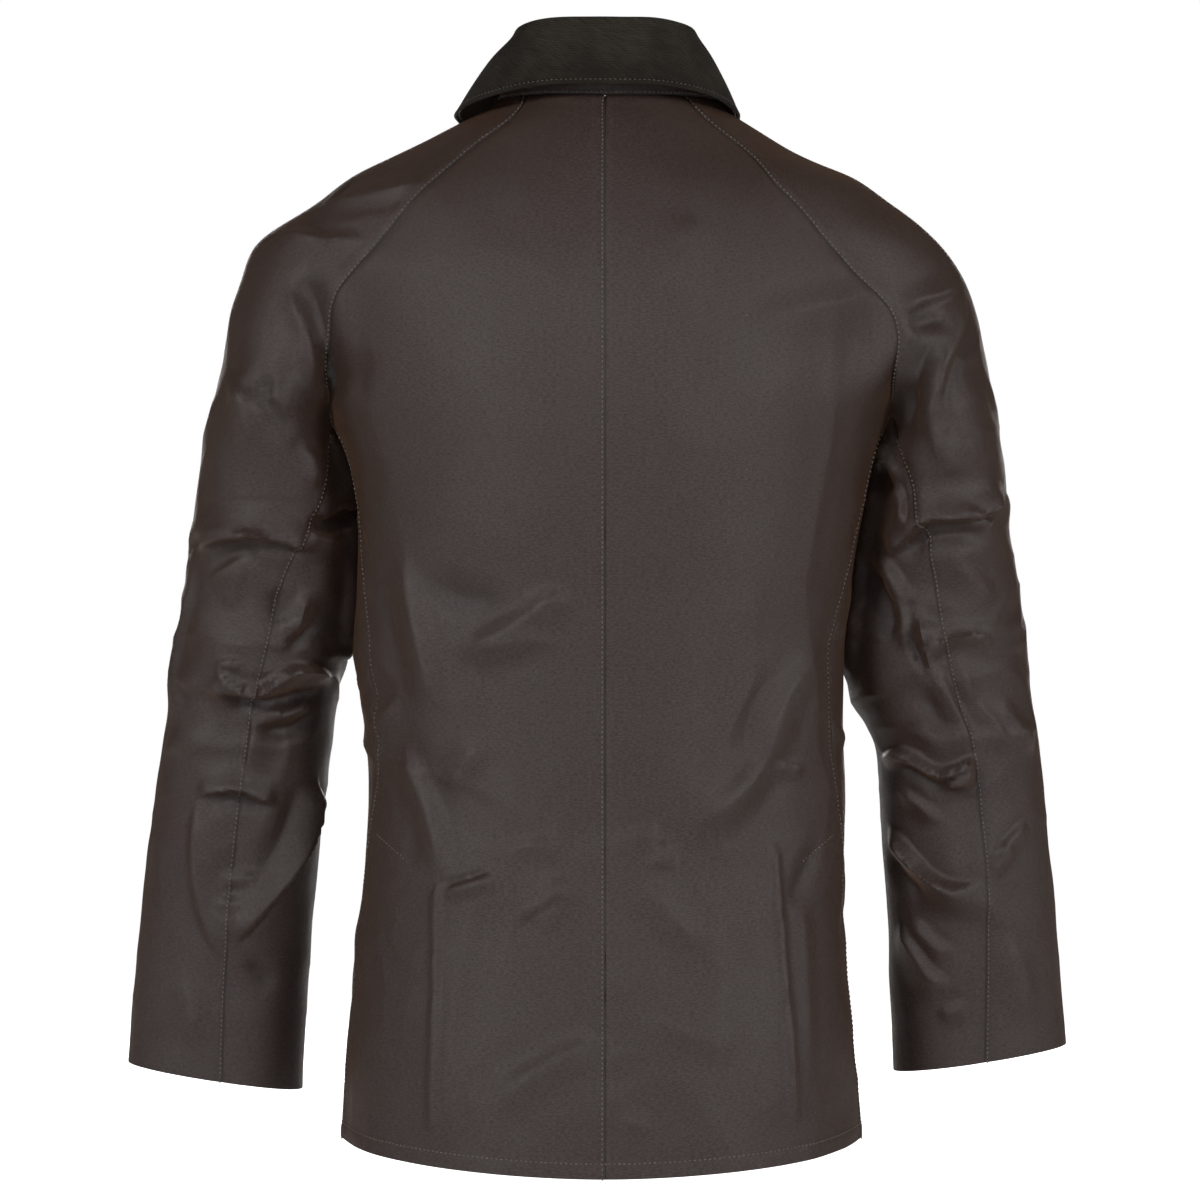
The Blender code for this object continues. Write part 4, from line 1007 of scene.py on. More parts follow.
    def line_in_from(self, border: Border, inset: float, start: float = 0.0, end: float = 1.0) -> Line:
        """A line on the panel, a distance in from a border.

        Args:
            border: the border it follows.
            inset: its distance from the border.
            start: share of the border at which it starts.
            end: share of the border at which it ends.

        Returns:
            Its points and their normals.
        """
        axis, index = border.value
        grid, normals, run = self.points, self.normals, self.distance(border)
        if axis == 0:
            grid, normals, run = (values.swapaxes(0, 1) for values in (grid, normals, run))
        if index == -1:
            grid, normals, run = grid[:, ::-1], normals[:, ::-1], run[:, ::-1]
        line = np.array([between(inset, *row) for row in zip(run, grid)])
        facing = unit(np.array([between(inset, *row) for row in zip(run, normals)]))
        first, last = round(start * (len(line) - 1)), round(end * (len(line) - 1)) + 1
        return line[first:last], facing[first:last]

    def line_between(self, start: tuple[float, float], end: tuple[float, float], count: int = 12) -> Line:
        """A straight row on the panel, seen square on.

        Args:
            start: across and up, where it starts.
            end: where it ends.
            count: how many points it gets.

        Returns:
            Its points and their normals.
        """
        flat, facing = self.points.reshape(-1, 3), self.normals.reshape(-1, 3)
        line, ways = [], []
        for place in np.linspace(start, end, count):
            apart = np.linalg.norm(flat[:, ::2] - place, axis=1)
            near = np.argsort(apart)[:NEAR]
            share = 1 / (apart[near] + NEAR_SOFT)
            share /= share.sum()
            line.append((place[0], share @ flat[near, 1], place[1]))
            ways.append(share @ facing[near])
        return np.array(line), unit(np.array(ways))


MEET_REACH, MEET_FADE = 0.0042, 0.010  # how far apart edges are drawn together, and the cloth's width that gives way
MEET_SLACK, MEET_LEAST, MEET_LET_GO = 0.6, 0.00015, 0.25  # how far aside an edge's partner may lie; where it lets go
FINE_STEPS = 6  # places looked at between two points of an edge
VENT_FADE = 0.006  # the length over which a seam opens into its vent
TUCK = 0.00045  # how far a sewn border goes past its seam
UNDERARM, PRESS_REACH, PRESS_DEEP = -0.222, 0.011, 0.0022  # a sleeve this near the torso is pressed this far past it
PRESS_LET_GO, PRESS_FADE = 0.7, 0.03  # the share of that reach that fades out, and the fade below the underarm
SHARE_REACH = 0.0012  # borders this close get the same normals


def edge_line(grid: Array, border: Border) -> Array:
    """The values of a grid along one border."""
    axis, index = border.value
    return np.take(grid, index, axis=axis)


def across_seam(line: Array, tree: KDTree) -> Array:
    """How far each point of an edge is from the edge that it is sewn to.

    Args:
        line: the edge's points.
        tree: points of the other edges.

    Returns:
        The offsets, zero where no edge is near, or where the nearest only carries this one on.
    """
    way = unit(np.gradient(line, axis=0))
    offsets = np.zeros_like(line)
    for k, point in enumerate(line):
        best = MEET_REACH
        for place, _, apart in tree.find_range(point, MEET_REACH):
            offset = np.array(place) - point
            if apart < best and abs(offset @ way[k]) <= max(MEET_SLACK * apart, MEET_LEAST):
                best = apart
                offsets[k] = offset
    apart = np.linalg.norm(offsets, axis=-1)
    return offsets * ease((MEET_REACH - apart) / (MEET_REACH * MEET_LET_GO))[:, None]


def close_seams(panels: list[Panel]) -> None:
    """Draws sewn edges together, onto the line halfway between them.

    Args:
        panels: all of the panels.
    """
    samples: list[tuple[Panel, Border, Array]] = []
    for panel in panels:
        for border in panel.sewn():
            line = edge_line(panel.points, border)
            steps = np.linspace(0, len(line) - 1, (len(line) - 1) * FINE_STEPS + 1)
            fine = between(steps, np.arange(len(line)), line)
            if border is Border.LAST_COLUMN:
                fine = fine[fine[:, 2] > panel.free_below]
            samples.append((panel, border, fine))
    moves: list[dict[Border, Array]] = []
    for panel in panels:
        mine = {}
        for border in panel.sewn():
            tube = panel.facing is Facing.ALL_ROUND and border in (Border.FIRST_COLUMN, Border.LAST_COLUMN)
            others = np.vstack([
                line for owner, edge, line in samples
                if owner is not panel or (tube and edge is not border and edge is not Border.FIRST_ROW)])
            line = edge_line(panel.points, border)
            mine[border] = across_seam(line, tree_of(others)) / 2
            if border is Border.LAST_COLUMN:
                mine[border] *= ease((line[:, 2] - panel.free_below) / VENT_FADE)[:, None]
        moves.append(mine)
    for panel, mine in zip(panels, moves):
        panel.draw_in(mine)


def press_sleeves(panels: list[Panel]) -> None:
    """Lets the sleeves hang against the torso, where they nearly touch it.

    Args:
        panels: all of the panels.
    """
    torso = [panel for panel in panels if panel.form == "torso"]
    tree = tree_of(np.vstack([panel.points[::3, ::3].reshape(-1, 3) for panel in torso]))
    ways = np.vstack([panel.normals[::3, ::3].reshape(-1, 3) for panel in torso])
    for panel in panels:
        if not panel.form.startswith("sleeve"):
            continue
        flat, facing = panel.points.reshape(-1, 3), panel.normals.reshape(-1, 3)
        push = np.zeros(len(flat))
        for k in np.nonzero(flat[:, 2] < UNDERARM)[0]:
            place, index, _ = tree.find(flat[k])
            gap = (flat[k] - np.array(place)) @ ways[index]
            if facing[k] @ ways[index] < 0:
                push[k] = gap
        hold = ease((PRESS_REACH - push) / (PRESS_REACH * PRESS_LET_GO))
        wanted = np.where(push > 0, hold * (push + PRESS_DEEP), 0.0)
        wanted *= ease((UNDERARM - flat[:, 2]) / PRESS_FADE)
        panel.points = panel.points + panel.normals * wanted.reshape(panel.points.shape[:2])[..., None]
        panel.normals = grid_normals(panel.points, panel.outward)


def share_borders(panels: list[Panel]) -> None:
    """Gives the panels' borders the same normals where they meet, so that no gap opens between them.

    Args:
        panels: all of the panels.
    """
    points = np.vstack([p.points[border_mask(p.points.shape)] for p in panels])
    normals = np.vstack([p.normals[border_mask(p.points.shape)] for p in panels])
    cells: dict[tuple[int, ...], list[int]] = {}
    for k, point in enumerate(points):
        cells.setdefault(tuple(np.floor(point / SHARE_REACH).astype(int)), []).append(k)
    shared = np.zeros_like(normals)
    offsets = [(i, j, k) for i in (-1, 0, 1) for j in (-1, 0, 1) for k in (-1, 0, 1)]
    for k, point in enumerate(points):
        cell = np.floor(point / SHARE_REACH).astype(int)
        close = [m for o in offsets for m in cells.get(tuple(cell + o), ())]
        close = [m for m in close if np.linalg.norm(points[m] - point) < SHARE_REACH]
        shared[k] = normals[close].sum(0)
    shared, done = unit(shared), 0
    for panel in panels:
        mask = border_mask(panel.points.shape)
        panel.normals[mask] = shared[done : done + mask.sum()]
        done += int(mask.sum())


# ---- node trees
FLOAT, VECTOR = "NodeSocketFloat", "NodeSocketVector"
Sockets = bpy.types.bpy_prop_collection
Inputs = dict[int | str, object]  # a socket or a value for each input named or numbered


@dataclass
class Graph:
    """A node tree, with short calls that add nodes to it and join them.

    Attributes:
        tree: the tree.
    """

    tree: bpy.types.NodeTree

    def feed(self, node: bpy.types.Node, inputs: Inputs) -> None:
        """Links or sets a node's inputs.

        Args:
            node: the node.
            inputs: what each gets.
        """
        for key, value in inputs.items():
            if isinstance(value, bpy.types.NodeSocket):
                self.tree.links.new(value, node.inputs[key])
            else:
                node.inputs[key].default_value = value

    def node(self, kind: str, inputs: Inputs | None = None, **settings: object) -> bpy.types.Node:
        """Adds a node.

        Args:
            kind: its type.
            inputs: what its inputs get.
            **settings: the node's own properties.

        Returns:
            The node.
        """
        made = self.tree.nodes.new(kind)
        for name, value in settings.items():
            setattr(made, name, value)
        self.feed(made, inputs or {})
        return made

    def shared(self, effect: bpy.types.NodeTree, inputs: Inputs) -> Sockets:
        """The outputs of a shared group, placed here with its own inputs."""
        return self.node("ShaderNodeGroup", inputs, node_tree=effect).outputs

    def vector(self, operation: str, inputs: Inputs) -> bpy.types.NodeSocket:
        """A Vector Math node's output."""
        return self.node("ShaderNodeVectorMath", inputs, operation=operation).outputs[0]

    def math(self, operation: str, *values: object) -> bpy.types.NodeSocket:
        """A Math node's output."""
        return self.node("ShaderNodeMath", dict(enumerate(values)), operation=operation).outputs[0]

    def colour(self, share: object, first: object, second: object) -> bpy.types.NodeSocket:
        """Two colours mixed by a share."""
        inputs = {0: share, 6: first, 7: second}
        return self.node("ShaderNodeMix", inputs, data_type="RGBA").outputs[2]

    def remap(self, value: object, low: float, high: float, to_low: float, to_high: float) -> bpy.types.NodeSocket:
        """A value moved smoothly from one range to another."""
        inputs = {0: value, 1: low, 2: high, 3: to_low, 4: to_high}
        return self.node("ShaderNodeMapRange", inputs, interpolation_type="SMOOTHSTEP").outputs[0]

    def noise(self, vector: object, scale: float, detail: float = 3.0, rough: float = 0.5) -> bpy.types.NodeSocket:
        """A noise texture's value."""
        inputs = {"Vector": vector, "Scale": scale, "Detail": detail, "Roughness": rough}
        return self.node("ShaderNodeTexNoise", inputs).outputs["Fac"]

    def bump(self, height: object, distance: float, strength: float = 1.0, **below: object) -> bpy.types.NodeSocket:
        """The normal of a relief, laid on another if Normal is given."""
        inputs = {"Strength": strength, "Distance": distance, "Height": height, **below}
        return self.node("ShaderNodeBump", inputs).outputs[0]


def group(
    name: str, inputs: dict[str, str], outputs: dict[str, str], kind: str = "ShaderNodeTree"
) -> tuple[Graph, Sockets, bpy.types.Node]:
    """A new node group with its sockets.

    Args:
        name: the group's name.
        inputs: socket type for each named input.
        outputs: socket type for each named output.
        kind: the tree's type.

    Returns:
        Its graph, its input node's outputs and its output node.
    """
    tree = bpy.data.node_groups.new(name, kind)
    for side, sockets in (("INPUT", inputs), ("OUTPUT", outputs)):
        for label, socket in sockets.items():
            tree.interface.new_socket(name=label, in_out=side, socket_type=socket)
    graph = Graph(tree)
    return graph, graph.node("NodeGroupInput").outputs, graph.node("NodeGroupOutput")


WEAVE_RISE = 0.55  # how much higher a thread lies where it goes over than where it goes under
FINE_PATCHES = 9.0  # fine patches to a broad one
RUB_AND_LIGHT_SHOWS = (0.15, 0.9)  # the value at which the crests' rub and painted highlight, and the hollows' painted shade, start and are full
CREST_RUB_AND_LIGHT_BROKEN = 0.6  # how much the patches thin the crests' rub and painted highlight


class Effects:
    """Shader groups that several finishes share, each built once."""

    def __init__(self) -> None:
        """Builds the groups."""
        self.weave = self.build_weave()
        self.mottle = self.build_mottle()
        self.lint = self.build_lint()
        self.wear = self.build_wear()

    @staticmethod
    def build_weave() -> bpy.types.NodeTree:
        """Plain weave: Height is 1 on top of a thread, by a pitch in the vector's own units.

        Returns:
            The group.
        """
        graph, given, out = group("plain_weave", {"Vector": VECTOR, "Pitch": FLOAT}, {"Height": FLOAT})
        per = graph.math("DIVIDE", 1.0, given["Pitch"])
        split = graph.node("ShaderNodeSeparateXYZ", {0: graph.vector("SCALE", {0: given["Vector"], "Scale": per})})
        x, y = split.outputs["X"], split.outputs["Y"]
        ridges = [graph.math("ABSOLUTE", graph.math("SINE", graph.math("MULTIPLY", v, math.pi))) for v in (x, y)]
        cell = graph.math("ADD", graph.math("FLOOR", x), graph.math("FLOOR", y))
        over = graph.math("FLOORED_MODULO", cell, 2.0)
        under = graph.math("SUBTRACT", 1.0, over)
        warp, weft = (
            graph.math("MULTIPLY", ridge, graph.math("MULTIPLY_ADD", top, WEAVE_RISE, 1 - WEAVE_RISE))
            for ridge, top in zip(ridges, (over, under)))
        graph.feed(out, {"Height": graph.math("MAXIMUM", warp, weft)})
        return graph.tree

    @staticmethod
    def build_mottle() -> bpy.types.NodeTree:
        """Uneven wax or dye: Broad and Fine patches from 0 to 1.

        Returns:
            The group.
        """
        graph, given, out = group("mottle", {"Vector": VECTOR, "Scale": FLOAT}, {"Broad": FLOAT, "Fine": FLOAT})
        near = graph.vector("SCALE", {0: given["Vector"], "Scale": given["Scale"]})
        broad = graph.noise(near, 1.0, 4.0, 0.55)
        fine = graph.noise(near, FINE_PATCHES, 3.0, 0.6)
        graph.feed(out, {
            "Broad": graph.remap(broad, 0.32, 0.68, 0.0, 1.0), "Fine": graph.remap(fine, 0.3, 0.7, 0.0, 1.0)})
        return graph.tree

    @staticmethod
    def build_lint() -> bpy.types.NodeTree:
        """Rare specks of lint: Mask is 1 on a speck.

        Returns:
            The group.
        """
        inputs = {"Vector": VECTOR, "Scale": FLOAT, "Size": FLOAT, "Share": FLOAT}
        graph, given, out = group("lint", inputs, {"Mask": FLOAT})
        cells = graph.node("ShaderNodeTexVoronoi", {"Vector": given["Vector"], "Scale": given["Scale"]}).outputs
        pick = graph.node("ShaderNodeSeparateColor", {0: cells["Color"]}).outputs["Red"]
        chosen = graph.math("LESS_THAN", pick, given["Share"])
        near = graph.math("LESS_THAN", cells["Distance"], given["Size"])
        graph.feed(out, {"Mask": graph.math("MULTIPLY", chosen, near)})
        return graph.tree

    @staticmethod
    def build_wear() -> bpy.types.NodeTree:
        """Crests lighter with rub and a painted highlight, and painted shade in hollows and seams, from the rub
        attribute, the crests broken up by patches.

        Returns:
            The group.
        """
        graph, given, out = group("wear", {"Rub": FLOAT, "Patches": FLOAT}, {"Crest": FLOAT, "Hollow": FLOAT})
        crest = graph.remap(given["Rub"], *RUB_AND_LIGHT_SHOWS, 0.0, 1.0)
        hollow = graph.remap(given["Rub"], *(-rub for rub in RUB_AND_LIGHT_SHOWS), 0.0, 1.0)
        broken = graph.math("MULTIPLY_ADD", given["Patches"], CREST_RUB_AND_LIGHT_BROKEN, 1 - CREST_RUB_AND_LIGHT_BROKEN)
        graph.feed(out, {"Crest": graph.math("MULTIPLY", crest, broken), "Hollow": hollow})
        return graph.tree


Colour = tuple[float, float, float, float]
LINT, LINT_SCALE, LINT_SIZE, LINT_COVER = (0.30, 0.29, 0.27, 1.0), 62.0, 0.026, 0.75  # colour, cells, radius, share
SLUB_WAYS = ((900.0, 330.0, 1.0), (330.0, 1000.0, 1.0))  # stretch of the dark and of the light slubs, to a metre
SLUB_DARK, SLUB_LIGHT, SLUB_COVER = (0.52, 0.52, 0.48), (1.55, 1.58, 1.52), 0.9
BLOTCH_BROAD, BLOTCH_FINE = 0.7, 0.3  # shares of the broad and the fine patches in the colour
CREST_COVER, HOLLOW_SHADE_COVER, HOLLOW_SHADE = 0.14, 0.85, (0.2, 0.2, 0.2)  # shares of crest rub with painted highlight and of painted shade in hollows and seams, and that shade's factor


def shaded(colour: Colour, factors: Point) -> Colour:
    """A colour with its channels multiplied."""
    return (*(channel * factor for channel, factor in zip(colour, factors)), 1.0)


@dataclass(frozen=True)
class Finish:
    """What every finish has.

    Attributes:
        name: the material's name.
        slot: the record's material slot; not used.
        base: its main colour.
    """

    name: str
    slot: str
    base: Colour

    def start(self) -> tuple[bpy.types.Material, Graph, bpy.types.Node]:
        """Makes the material.

        Returns:
            The material, its graph and its Principled shader.
        """
        made = bpy.data.materials.new(self.name)
        made.use_nodes = True
        shader = made.node_tree.nodes["Principled BSDF"]
        shader.inputs["Base Color"].default_value = self.base
        return made, Graph(made.node_tree), shader

    @staticmethod
    def patches(graph: Graph, effects: Effects, scale: float) -> tuple[bpy.types.NodeSocket, Sockets]:
        """Puts patches on the piece.

        Args:
            graph: the material's graph.
            effects: the shared groups.
            scale: broad patches to a metre.

        Returns:
            Object coordinates and the patches' outputs.
        """
        place = graph.node("ShaderNodeTexCoord").outputs["Object"]
        return place, graph.shared(effects.mottle, {"Vector": place, "Scale": scale})

    def material(self, effects: Effects) -> bpy.types.Material:
        """Builds the material, which each kind of finish does in its own way.

        Args:
            effects: the shared groups.

        Returns:
            The material.
        """
        raise NotImplementedError


@dataclass(frozen=True)
class ClothFinish(Finish):
    """Woven cloth with uneven wax or dye, thread relief, crests lighter with rub and a painted highlight, and painted
    shade in hollows and seams.

    Attributes:
        patch: the colour of its lighter patches.
        worn: the colour of its crests, rubbed and with a painted highlight.
        roughness: of the cloth between crests.
        specular: level of its plain reflection.
        sheen: weight of its soft sheen.
        sheen_tint: the sheen's colour.
        pitch: distance between threads.
        relief: depth of the threads.
        lint: the share of places with a speck of lint.
    """

    patch: Colour = (0.0, 0.0, 0.0, 1.0)
    worn: Colour = (0.0, 0.0, 0.0, 1.0)
    roughness: float = 0.5
    specular: float = 0.5
    sheen: float = 0.1
    sheen_tint: Colour = (1.0, 1.0, 1.0, 1.0)
    pitch: float = 0.00045
    relief: float = 0.00006
    lint: float = 0.03

    def material(self, effects: Effects) -> bpy.types.Material:
        """Builds the material.

        Args:
            effects: the shared groups.

        Returns:
            The material.
        """
        made, graph, shader = self.start()
        uv = graph.node("ShaderNodeUVMap", uv_map="cloth").outputs[0]
        place, patches = self.patches(graph, effects, 16.0)
        rub = graph.node("ShaderNodeAttribute", attribute_name="rub").outputs["Fac"]
        weave = graph.shared(effects.weave, {"Vector": uv, "Pitch": self.pitch})
        wear = graph.shared(effects.wear, {"Rub": rub, "Patches": patches["Fine"]})
        lint = graph.shared(
            effects.lint, {"Vector": place, "Scale": LINT_SCALE, "Size": LINT_SIZE, "Share": self.lint})
        broad = graph.math("MULTIPLY", patches["Broad"], BLOTCH_BROAD)
        colour = graph.colour(graph.math("MULTIPLY_ADD", patches["Fine"], BLOTCH_FINE, broad), self.base, self.patch)
        slubs = [
            graph.noise(graph.node("ShaderNodeMapping", {0: uv, 3: way}).outputs[0], 1.0, 2.0, 0.6)
            for way in SLUB_WAYS]
        layers = (
            (graph.remap(slubs[0], 0.58, 0.34, 0.0, SLUB_COVER), shaded(self.base, SLUB_DARK)),
            (graph.remap(slubs[1], 0.42, 0.66, 0.0, SLUB_COVER), shaded(self.patch, SLUB_LIGHT)),
            # crests lighter: partly rubbed wax, partly a painted highlight
            (graph.math("MULTIPLY", wear["Crest"], CREST_COVER), self.worn),
            # painted shade in crease hollows and along seams
            (graph.math("MULTIPLY", wear["Hollow"], HOLLOW_SHADE_COVER), shaded(self.base, HOLLOW_SHADE)),
            (graph.math("MULTIPLY", lint["Mask"], LINT_COVER), LINT),
        )
        for cover, tone in layers:
            colour = graph.colour(cover, colour, tone)
        rumple = graph.bump(graph.noise(place, 130.0, 3.0, 0.55), 0.00022)
        graph.feed(shader, {
            "Base Color": colour,
            "Roughness": graph.math("MULTIPLY_ADD", patches["Fine"], -0.07, self.roughness + 0.03),
            "Normal": graph.bump(weave["Height"], self.relief, Normal=rumple),
            "Specular IOR Level": self.specular,
            "Sheen Weight": self.sheen,
            "Sheen Roughness": 0.45,
            "Sheen Tint": self.sheen_tint,
        })
        return made


@dataclass(frozen=True)
class PileFinish(Finish):
    """Corduroy pile, whose wales are in the mesh, with painted shade in the grooves between them.

    Attributes:
        tip: colour of the pile where it is brushed up, on the wales' tops; the grooves keep the near-black base as
            painted shade.
        sheen: weight of its nap.
    """

    tip: Colour = (0.0, 0.0, 0.0, 1.0)
    sheen: float = 0.16

    def material(self, effects: Effects) -> bpy.types.Material:
        """Builds the material.

        Args:
            effects: the shared groups.

        Returns:
            The material.
        """
        made, graph, shader = self.start()
        place, patches = self.patches(graph, effects, 22.0)
        uv = graph.node("ShaderNodeUVMap", uv_map="cloth").outputs[0]
        rub = graph.node("ShaderNodeAttribute", attribute_name="rub").outputs["Fac"]
        stretched = graph.node("ShaderNodeMapping", {0: uv, 3: (1.0, 9.0, 1.0)}).outputs[0]
        brushed = graph.remap(graph.noise(stretched, 110.0, 3.0, 0.6), 0.3, 0.75, 0.25, 1.0)
        # painted shade: the wales' grooves keep the near-black base
        share = graph.math("MULTIPLY", brushed, graph.remap(rub, -1.0, 1.0, 0.0, 1.0))
        share = graph.math("MULTIPLY", share, graph.math("MULTIPLY_ADD", patches["Broad"], 0.65, 0.35))
        graph.feed(shader, {
            "Base Color": graph.colour(share, self.base, self.tip),
            "Normal": graph.bump(graph.noise(place, 2600.0, 2.0, 0.6), 0.00022, 0.8),
            "Roughness": 0.92,
            "Specular IOR Level": 0.15,
            "Sheen Weight": self.sheen,
            "Sheen Roughness": 0.5,
            "Sheen Tint": (0.60, 0.53, 0.44, 1.0),
        })
        return made


@dataclass(frozen=True)
class ThreadFinish(Finish):
    """Sewing thread, with its twist as relief."""

    def material(self, effects: Effects) -> bpy.types.Material:
        """Builds the material.

        Args:
            effects: the shared groups.

        Returns:
            The material.
        """
        made, graph, shader = self.start()
        place, patches = self.patches(graph, effects, 60.0)
        graph.feed(shader, {
            "Base Color": graph.colour(patches["Fine"], shaded(self.base, (0.55, 0.55, 0.55)), self.base),
            "Normal": graph.bump(graph.noise(place, 6000.0, 1.0), 0.00008, 0.5),
            "Roughness": 0.75,
        })
        return made


@dataclass(frozen=True)
class MetalFinish(Finish):
    """Plain metal, duller where it has tarnished.

    Attributes:
        tarnish: the colour of the dull patches.
    """

    tarnish: Colour = (0.1, 0.1, 0.1, 1.0)

    def material(self, effects: Effects) -> bpy.types.Material:
        """Builds the material.

        Args:
            effects: the shared groups.

        Returns:
            The material.
        """
        made, graph, shader = self.start()
        place, patches = self.patches(graph, effects, 220.0)
        dull = graph.math("MULTIPLY", patches["Broad"], 0.6)
        graph.feed(shader, {
            "Base Color": graph.colour(dull, self.base, self.tarnish),
            "Roughness": graph.math("MULTIPLY_ADD", dull, 0.35, 0.28),
            "Normal": graph.bump(graph.noise(place, 900.0, 2.0), 0.00005, 0.3),
            "Metallic": 1.0,
        })
        return made


WAXED = ClothFinish(
    "waxed_cotton", "waxed_cotton", (0.0350, 0.0170, 0.0142, 1.0), patch=(0.0392, 0.0264, 0.0228, 1.0),
    worn=(0.072, 0.060, 0.055, 1.0), roughness=0.46, specular=0.60, sheen=0.12, sheen_tint=(1.0, 0.50, 0.24, 1.0),
)
TAPE = ClothFinish(
    "zip_tape", "zip_tape", (0.020, 0.017, 0.015, 1.0), patch=(0.027, 0.023, 0.020, 1.0),
    worn=(0.04, 0.036, 0.032, 1.0), roughness=0.85, specular=0.3, sheen=0.15, pitch=0.0006, relief=0.00012, lint=0.0,
)
CORD = PileFinish("corduroy", "corduroy", (0.0035, 0.0031, 0.0024, 1.0), tip=(0.0680, 0.0580, 0.0440, 1.0))
THREAD = ThreadFinish("thread", "waxed_cotton", (0.205, 0.170, 0.148, 1.0))
DARK_THREAD = ThreadFinish("dark_thread", "corduroy", (0.170, 0.150, 0.125, 1.0))
BRASS = MetalFinish("brass", "brass", (0.42, 0.29, 0.12, 1.0), tarnish=(0.16, 0.105, 0.05, 1.0))


# ---- laying pieces on the jacket
def finish_piece(piece: bpy.types.Object, look: Finish, looks: Looks, body: str = "jacket") -> bpy.types.Object:
    """Gives a piece its finish and its body.

    Args:
        piece: the piece.
        look: its finish.
        looks: the materials made so far.
        body: the body that it moves with.

    Returns:
        The piece.
    """
    piece.data.materials.clear()
    piece.data.materials.append(looks[look.name])
    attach(piece, body)
    LOG.info("%s: %d faces", piece.name, len(piece.data.polygons))
    return piece


def into_mesh(source: bpy.types.Object, name: str) -> bpy.types.Object:
    """Turns an object's evaluated mesh into a plain one and removes the source.

    Args:
        source: the object with its modifiers.
        name: the new object's name.

    Returns:
        The new object.
    """
    graph = bpy.context.evaluated_depsgraph_get()
    mesh = bpy.data.meshes.new_from_object(source.evaluated_get(graph))
    for modifier in list(source.modifiers):
        source.modifiers.remove(modifier)
    bpy.data.objects.remove(source)
    mesh.name = name
    return add_object(name, mesh)


class PathArray:
    """Copies of one small shape along lines, made by Geometry Nodes."""

    def __init__(self, name: str, unit_shape: bpy.types.Object | None = None) -> None:
        """Builds the tree.

        Args:
            name: its name.
            unit_shape: the shape that is repeated, or None for a stitch.
        """
        sockets = {
            "Geometry": "NodeSocketGeometry", "Spacing": FLOAT, "Length": FLOAT, "Width": FLOAT, "Height": FLOAT,
            "Wander": FLOAT, "Sideways": FLOAT, "Finish": "NodeSocketMaterial",
        }
        graph, given, out = group(name, sockets, {"Geometry": "NodeSocketGeometry"}, "GeometryNodeTree")
        self.tree = graph.tree
        curve = graph.node("GeometryNodeMeshToCurve", {0: given["Geometry"]}).outputs[0]
        spaced = graph.node("GeometryNodeResampleCurve", {"Curve": curve, "Length": given["Spacing"]}, mode="LENGTH")
        facing = graph.node("GeometryNodeInputNamedAttribute", {0: "facing"}, data_type="FLOAT_VECTOR").outputs[0]
        tangent = graph.node("GeometryNodeInputTangent").outputs[0]
        index = graph.node("GeometryNodeInputIndex").outputs[0]
        turn = graph.node("FunctionNodeAxesToRotation", {0: facing, 1: tangent}, primary_axis="Z", secondary_axis="X")
        jitter = self.random(graph, given["Wander"], index)
        turned = graph.node("FunctionNodeRotateRotation", {0: turn.outputs[0], 1: jitter}, rotation_space="LOCAL")
        across = graph.vector("CROSS_PRODUCT", {0: facing, 1: tangent})
        swing = graph.math("MULTIPLY_ADD", graph.math("FLOORED_MODULO", index, 2.0), 2.0, -1.0)
        aside = graph.vector("SCALE", {0: across, "Scale": graph.math("MULTIPLY", swing, given["Sideways"])})
        moved = graph.node("GeometryNodeSetPosition", {0: spaced.outputs[0], "Offset": aside}).outputs[0]
        if unit_shape is None:
            ball = graph.node("GeometryNodeMeshUVSphere", {"Segments": 6, "Rings": 5, "Radius": 0.5}).outputs["Mesh"]
        else:
            ball = graph.node("GeometryNodeObjectInfo", {0: unit_shape}).outputs["Geometry"]
        size = graph.node("ShaderNodeCombineXYZ", {0: given["Length"], 1: given["Width"], 2: given["Height"]})
        placed = graph.node("GeometryNodeInstanceOnPoints", {
            "Points": moved, "Instance": ball, "Rotation": turned.outputs[0], "Scale": size.outputs[0]})
        solid = graph.node("GeometryNodeRealizeInstances", {0: placed.outputs[0]}).outputs[0]
        dressed = graph.node("GeometryNodeSetMaterial", {"Geometry": solid, "Material": given["Finish"]})
        graph.feed(out, {0: dressed.outputs[0]})

    @staticmethod
    def random(graph: Graph, amount: object, index: object, seed: int = 7) -> bpy.types.NodeSocket:
        """A small random turn about each axis.

        Args:
            graph: the tree's graph.
            amount: the largest turn, in radians.
            index: each copy's number.
            seed: of the random turns.

        Returns:
            The turn.
        """
        less = graph.math("MULTIPLY", amount, -1.0)
        ends = [graph.node("ShaderNodeCombineXYZ", {0: v, 1: v, 2: v}).outputs[0] for v in (less, amount)]
        inputs = {0: ends[0], 1: ends[1], "ID": index, "Seed": seed}
        return graph.node("FunctionNodeRandomValue", inputs, data_type="FLOAT_VECTOR").outputs[0]

    def lay(
        self, name: str, lines: list[Line], material: bpy.types.Material, **sizes: float
    ) -> bpy.types.Object:
        """Lays the copies along lines.

        Args:
            name: the new piece's name.
            lines: points and the way each faces, for each line.
            material: its finish.
            **sizes: values of the tree's inputs by name.

        Returns:
            The copies as one plain mesh object.
        """
        points = np.vstack([line for line, _ in lines])
        starts = np.cumsum([0] + [len(line) for line, _ in lines])
        edges = [(k, k + 1) for a, b in zip(starts[:-1], starts[1:]) for k in range(a, b - 1)]
        mesh = bpy.data.meshes.new(name + "_lines")
        mesh.from_pydata(points.tolist(), edges, [])
        facing = mesh.attributes.new("facing", "FLOAT_VECTOR", "POINT")
        facing.data.foreach_set("vector", np.vstack([way for _, way in lines]).astype(np.float32).ravel())
        source = add_object(name + "_lines", mesh)
        modifier = source.modifiers.new("lay", "NODES")
        modifier.node_group = self.tree
        values = {**sizes, "Finish": material}
        for item in self.tree.interface.items_tree:
            if item.in_out == "INPUT" and item.name in values:
                modifier[item.identifier] = values[item.name]
        return into_mesh(source, name)


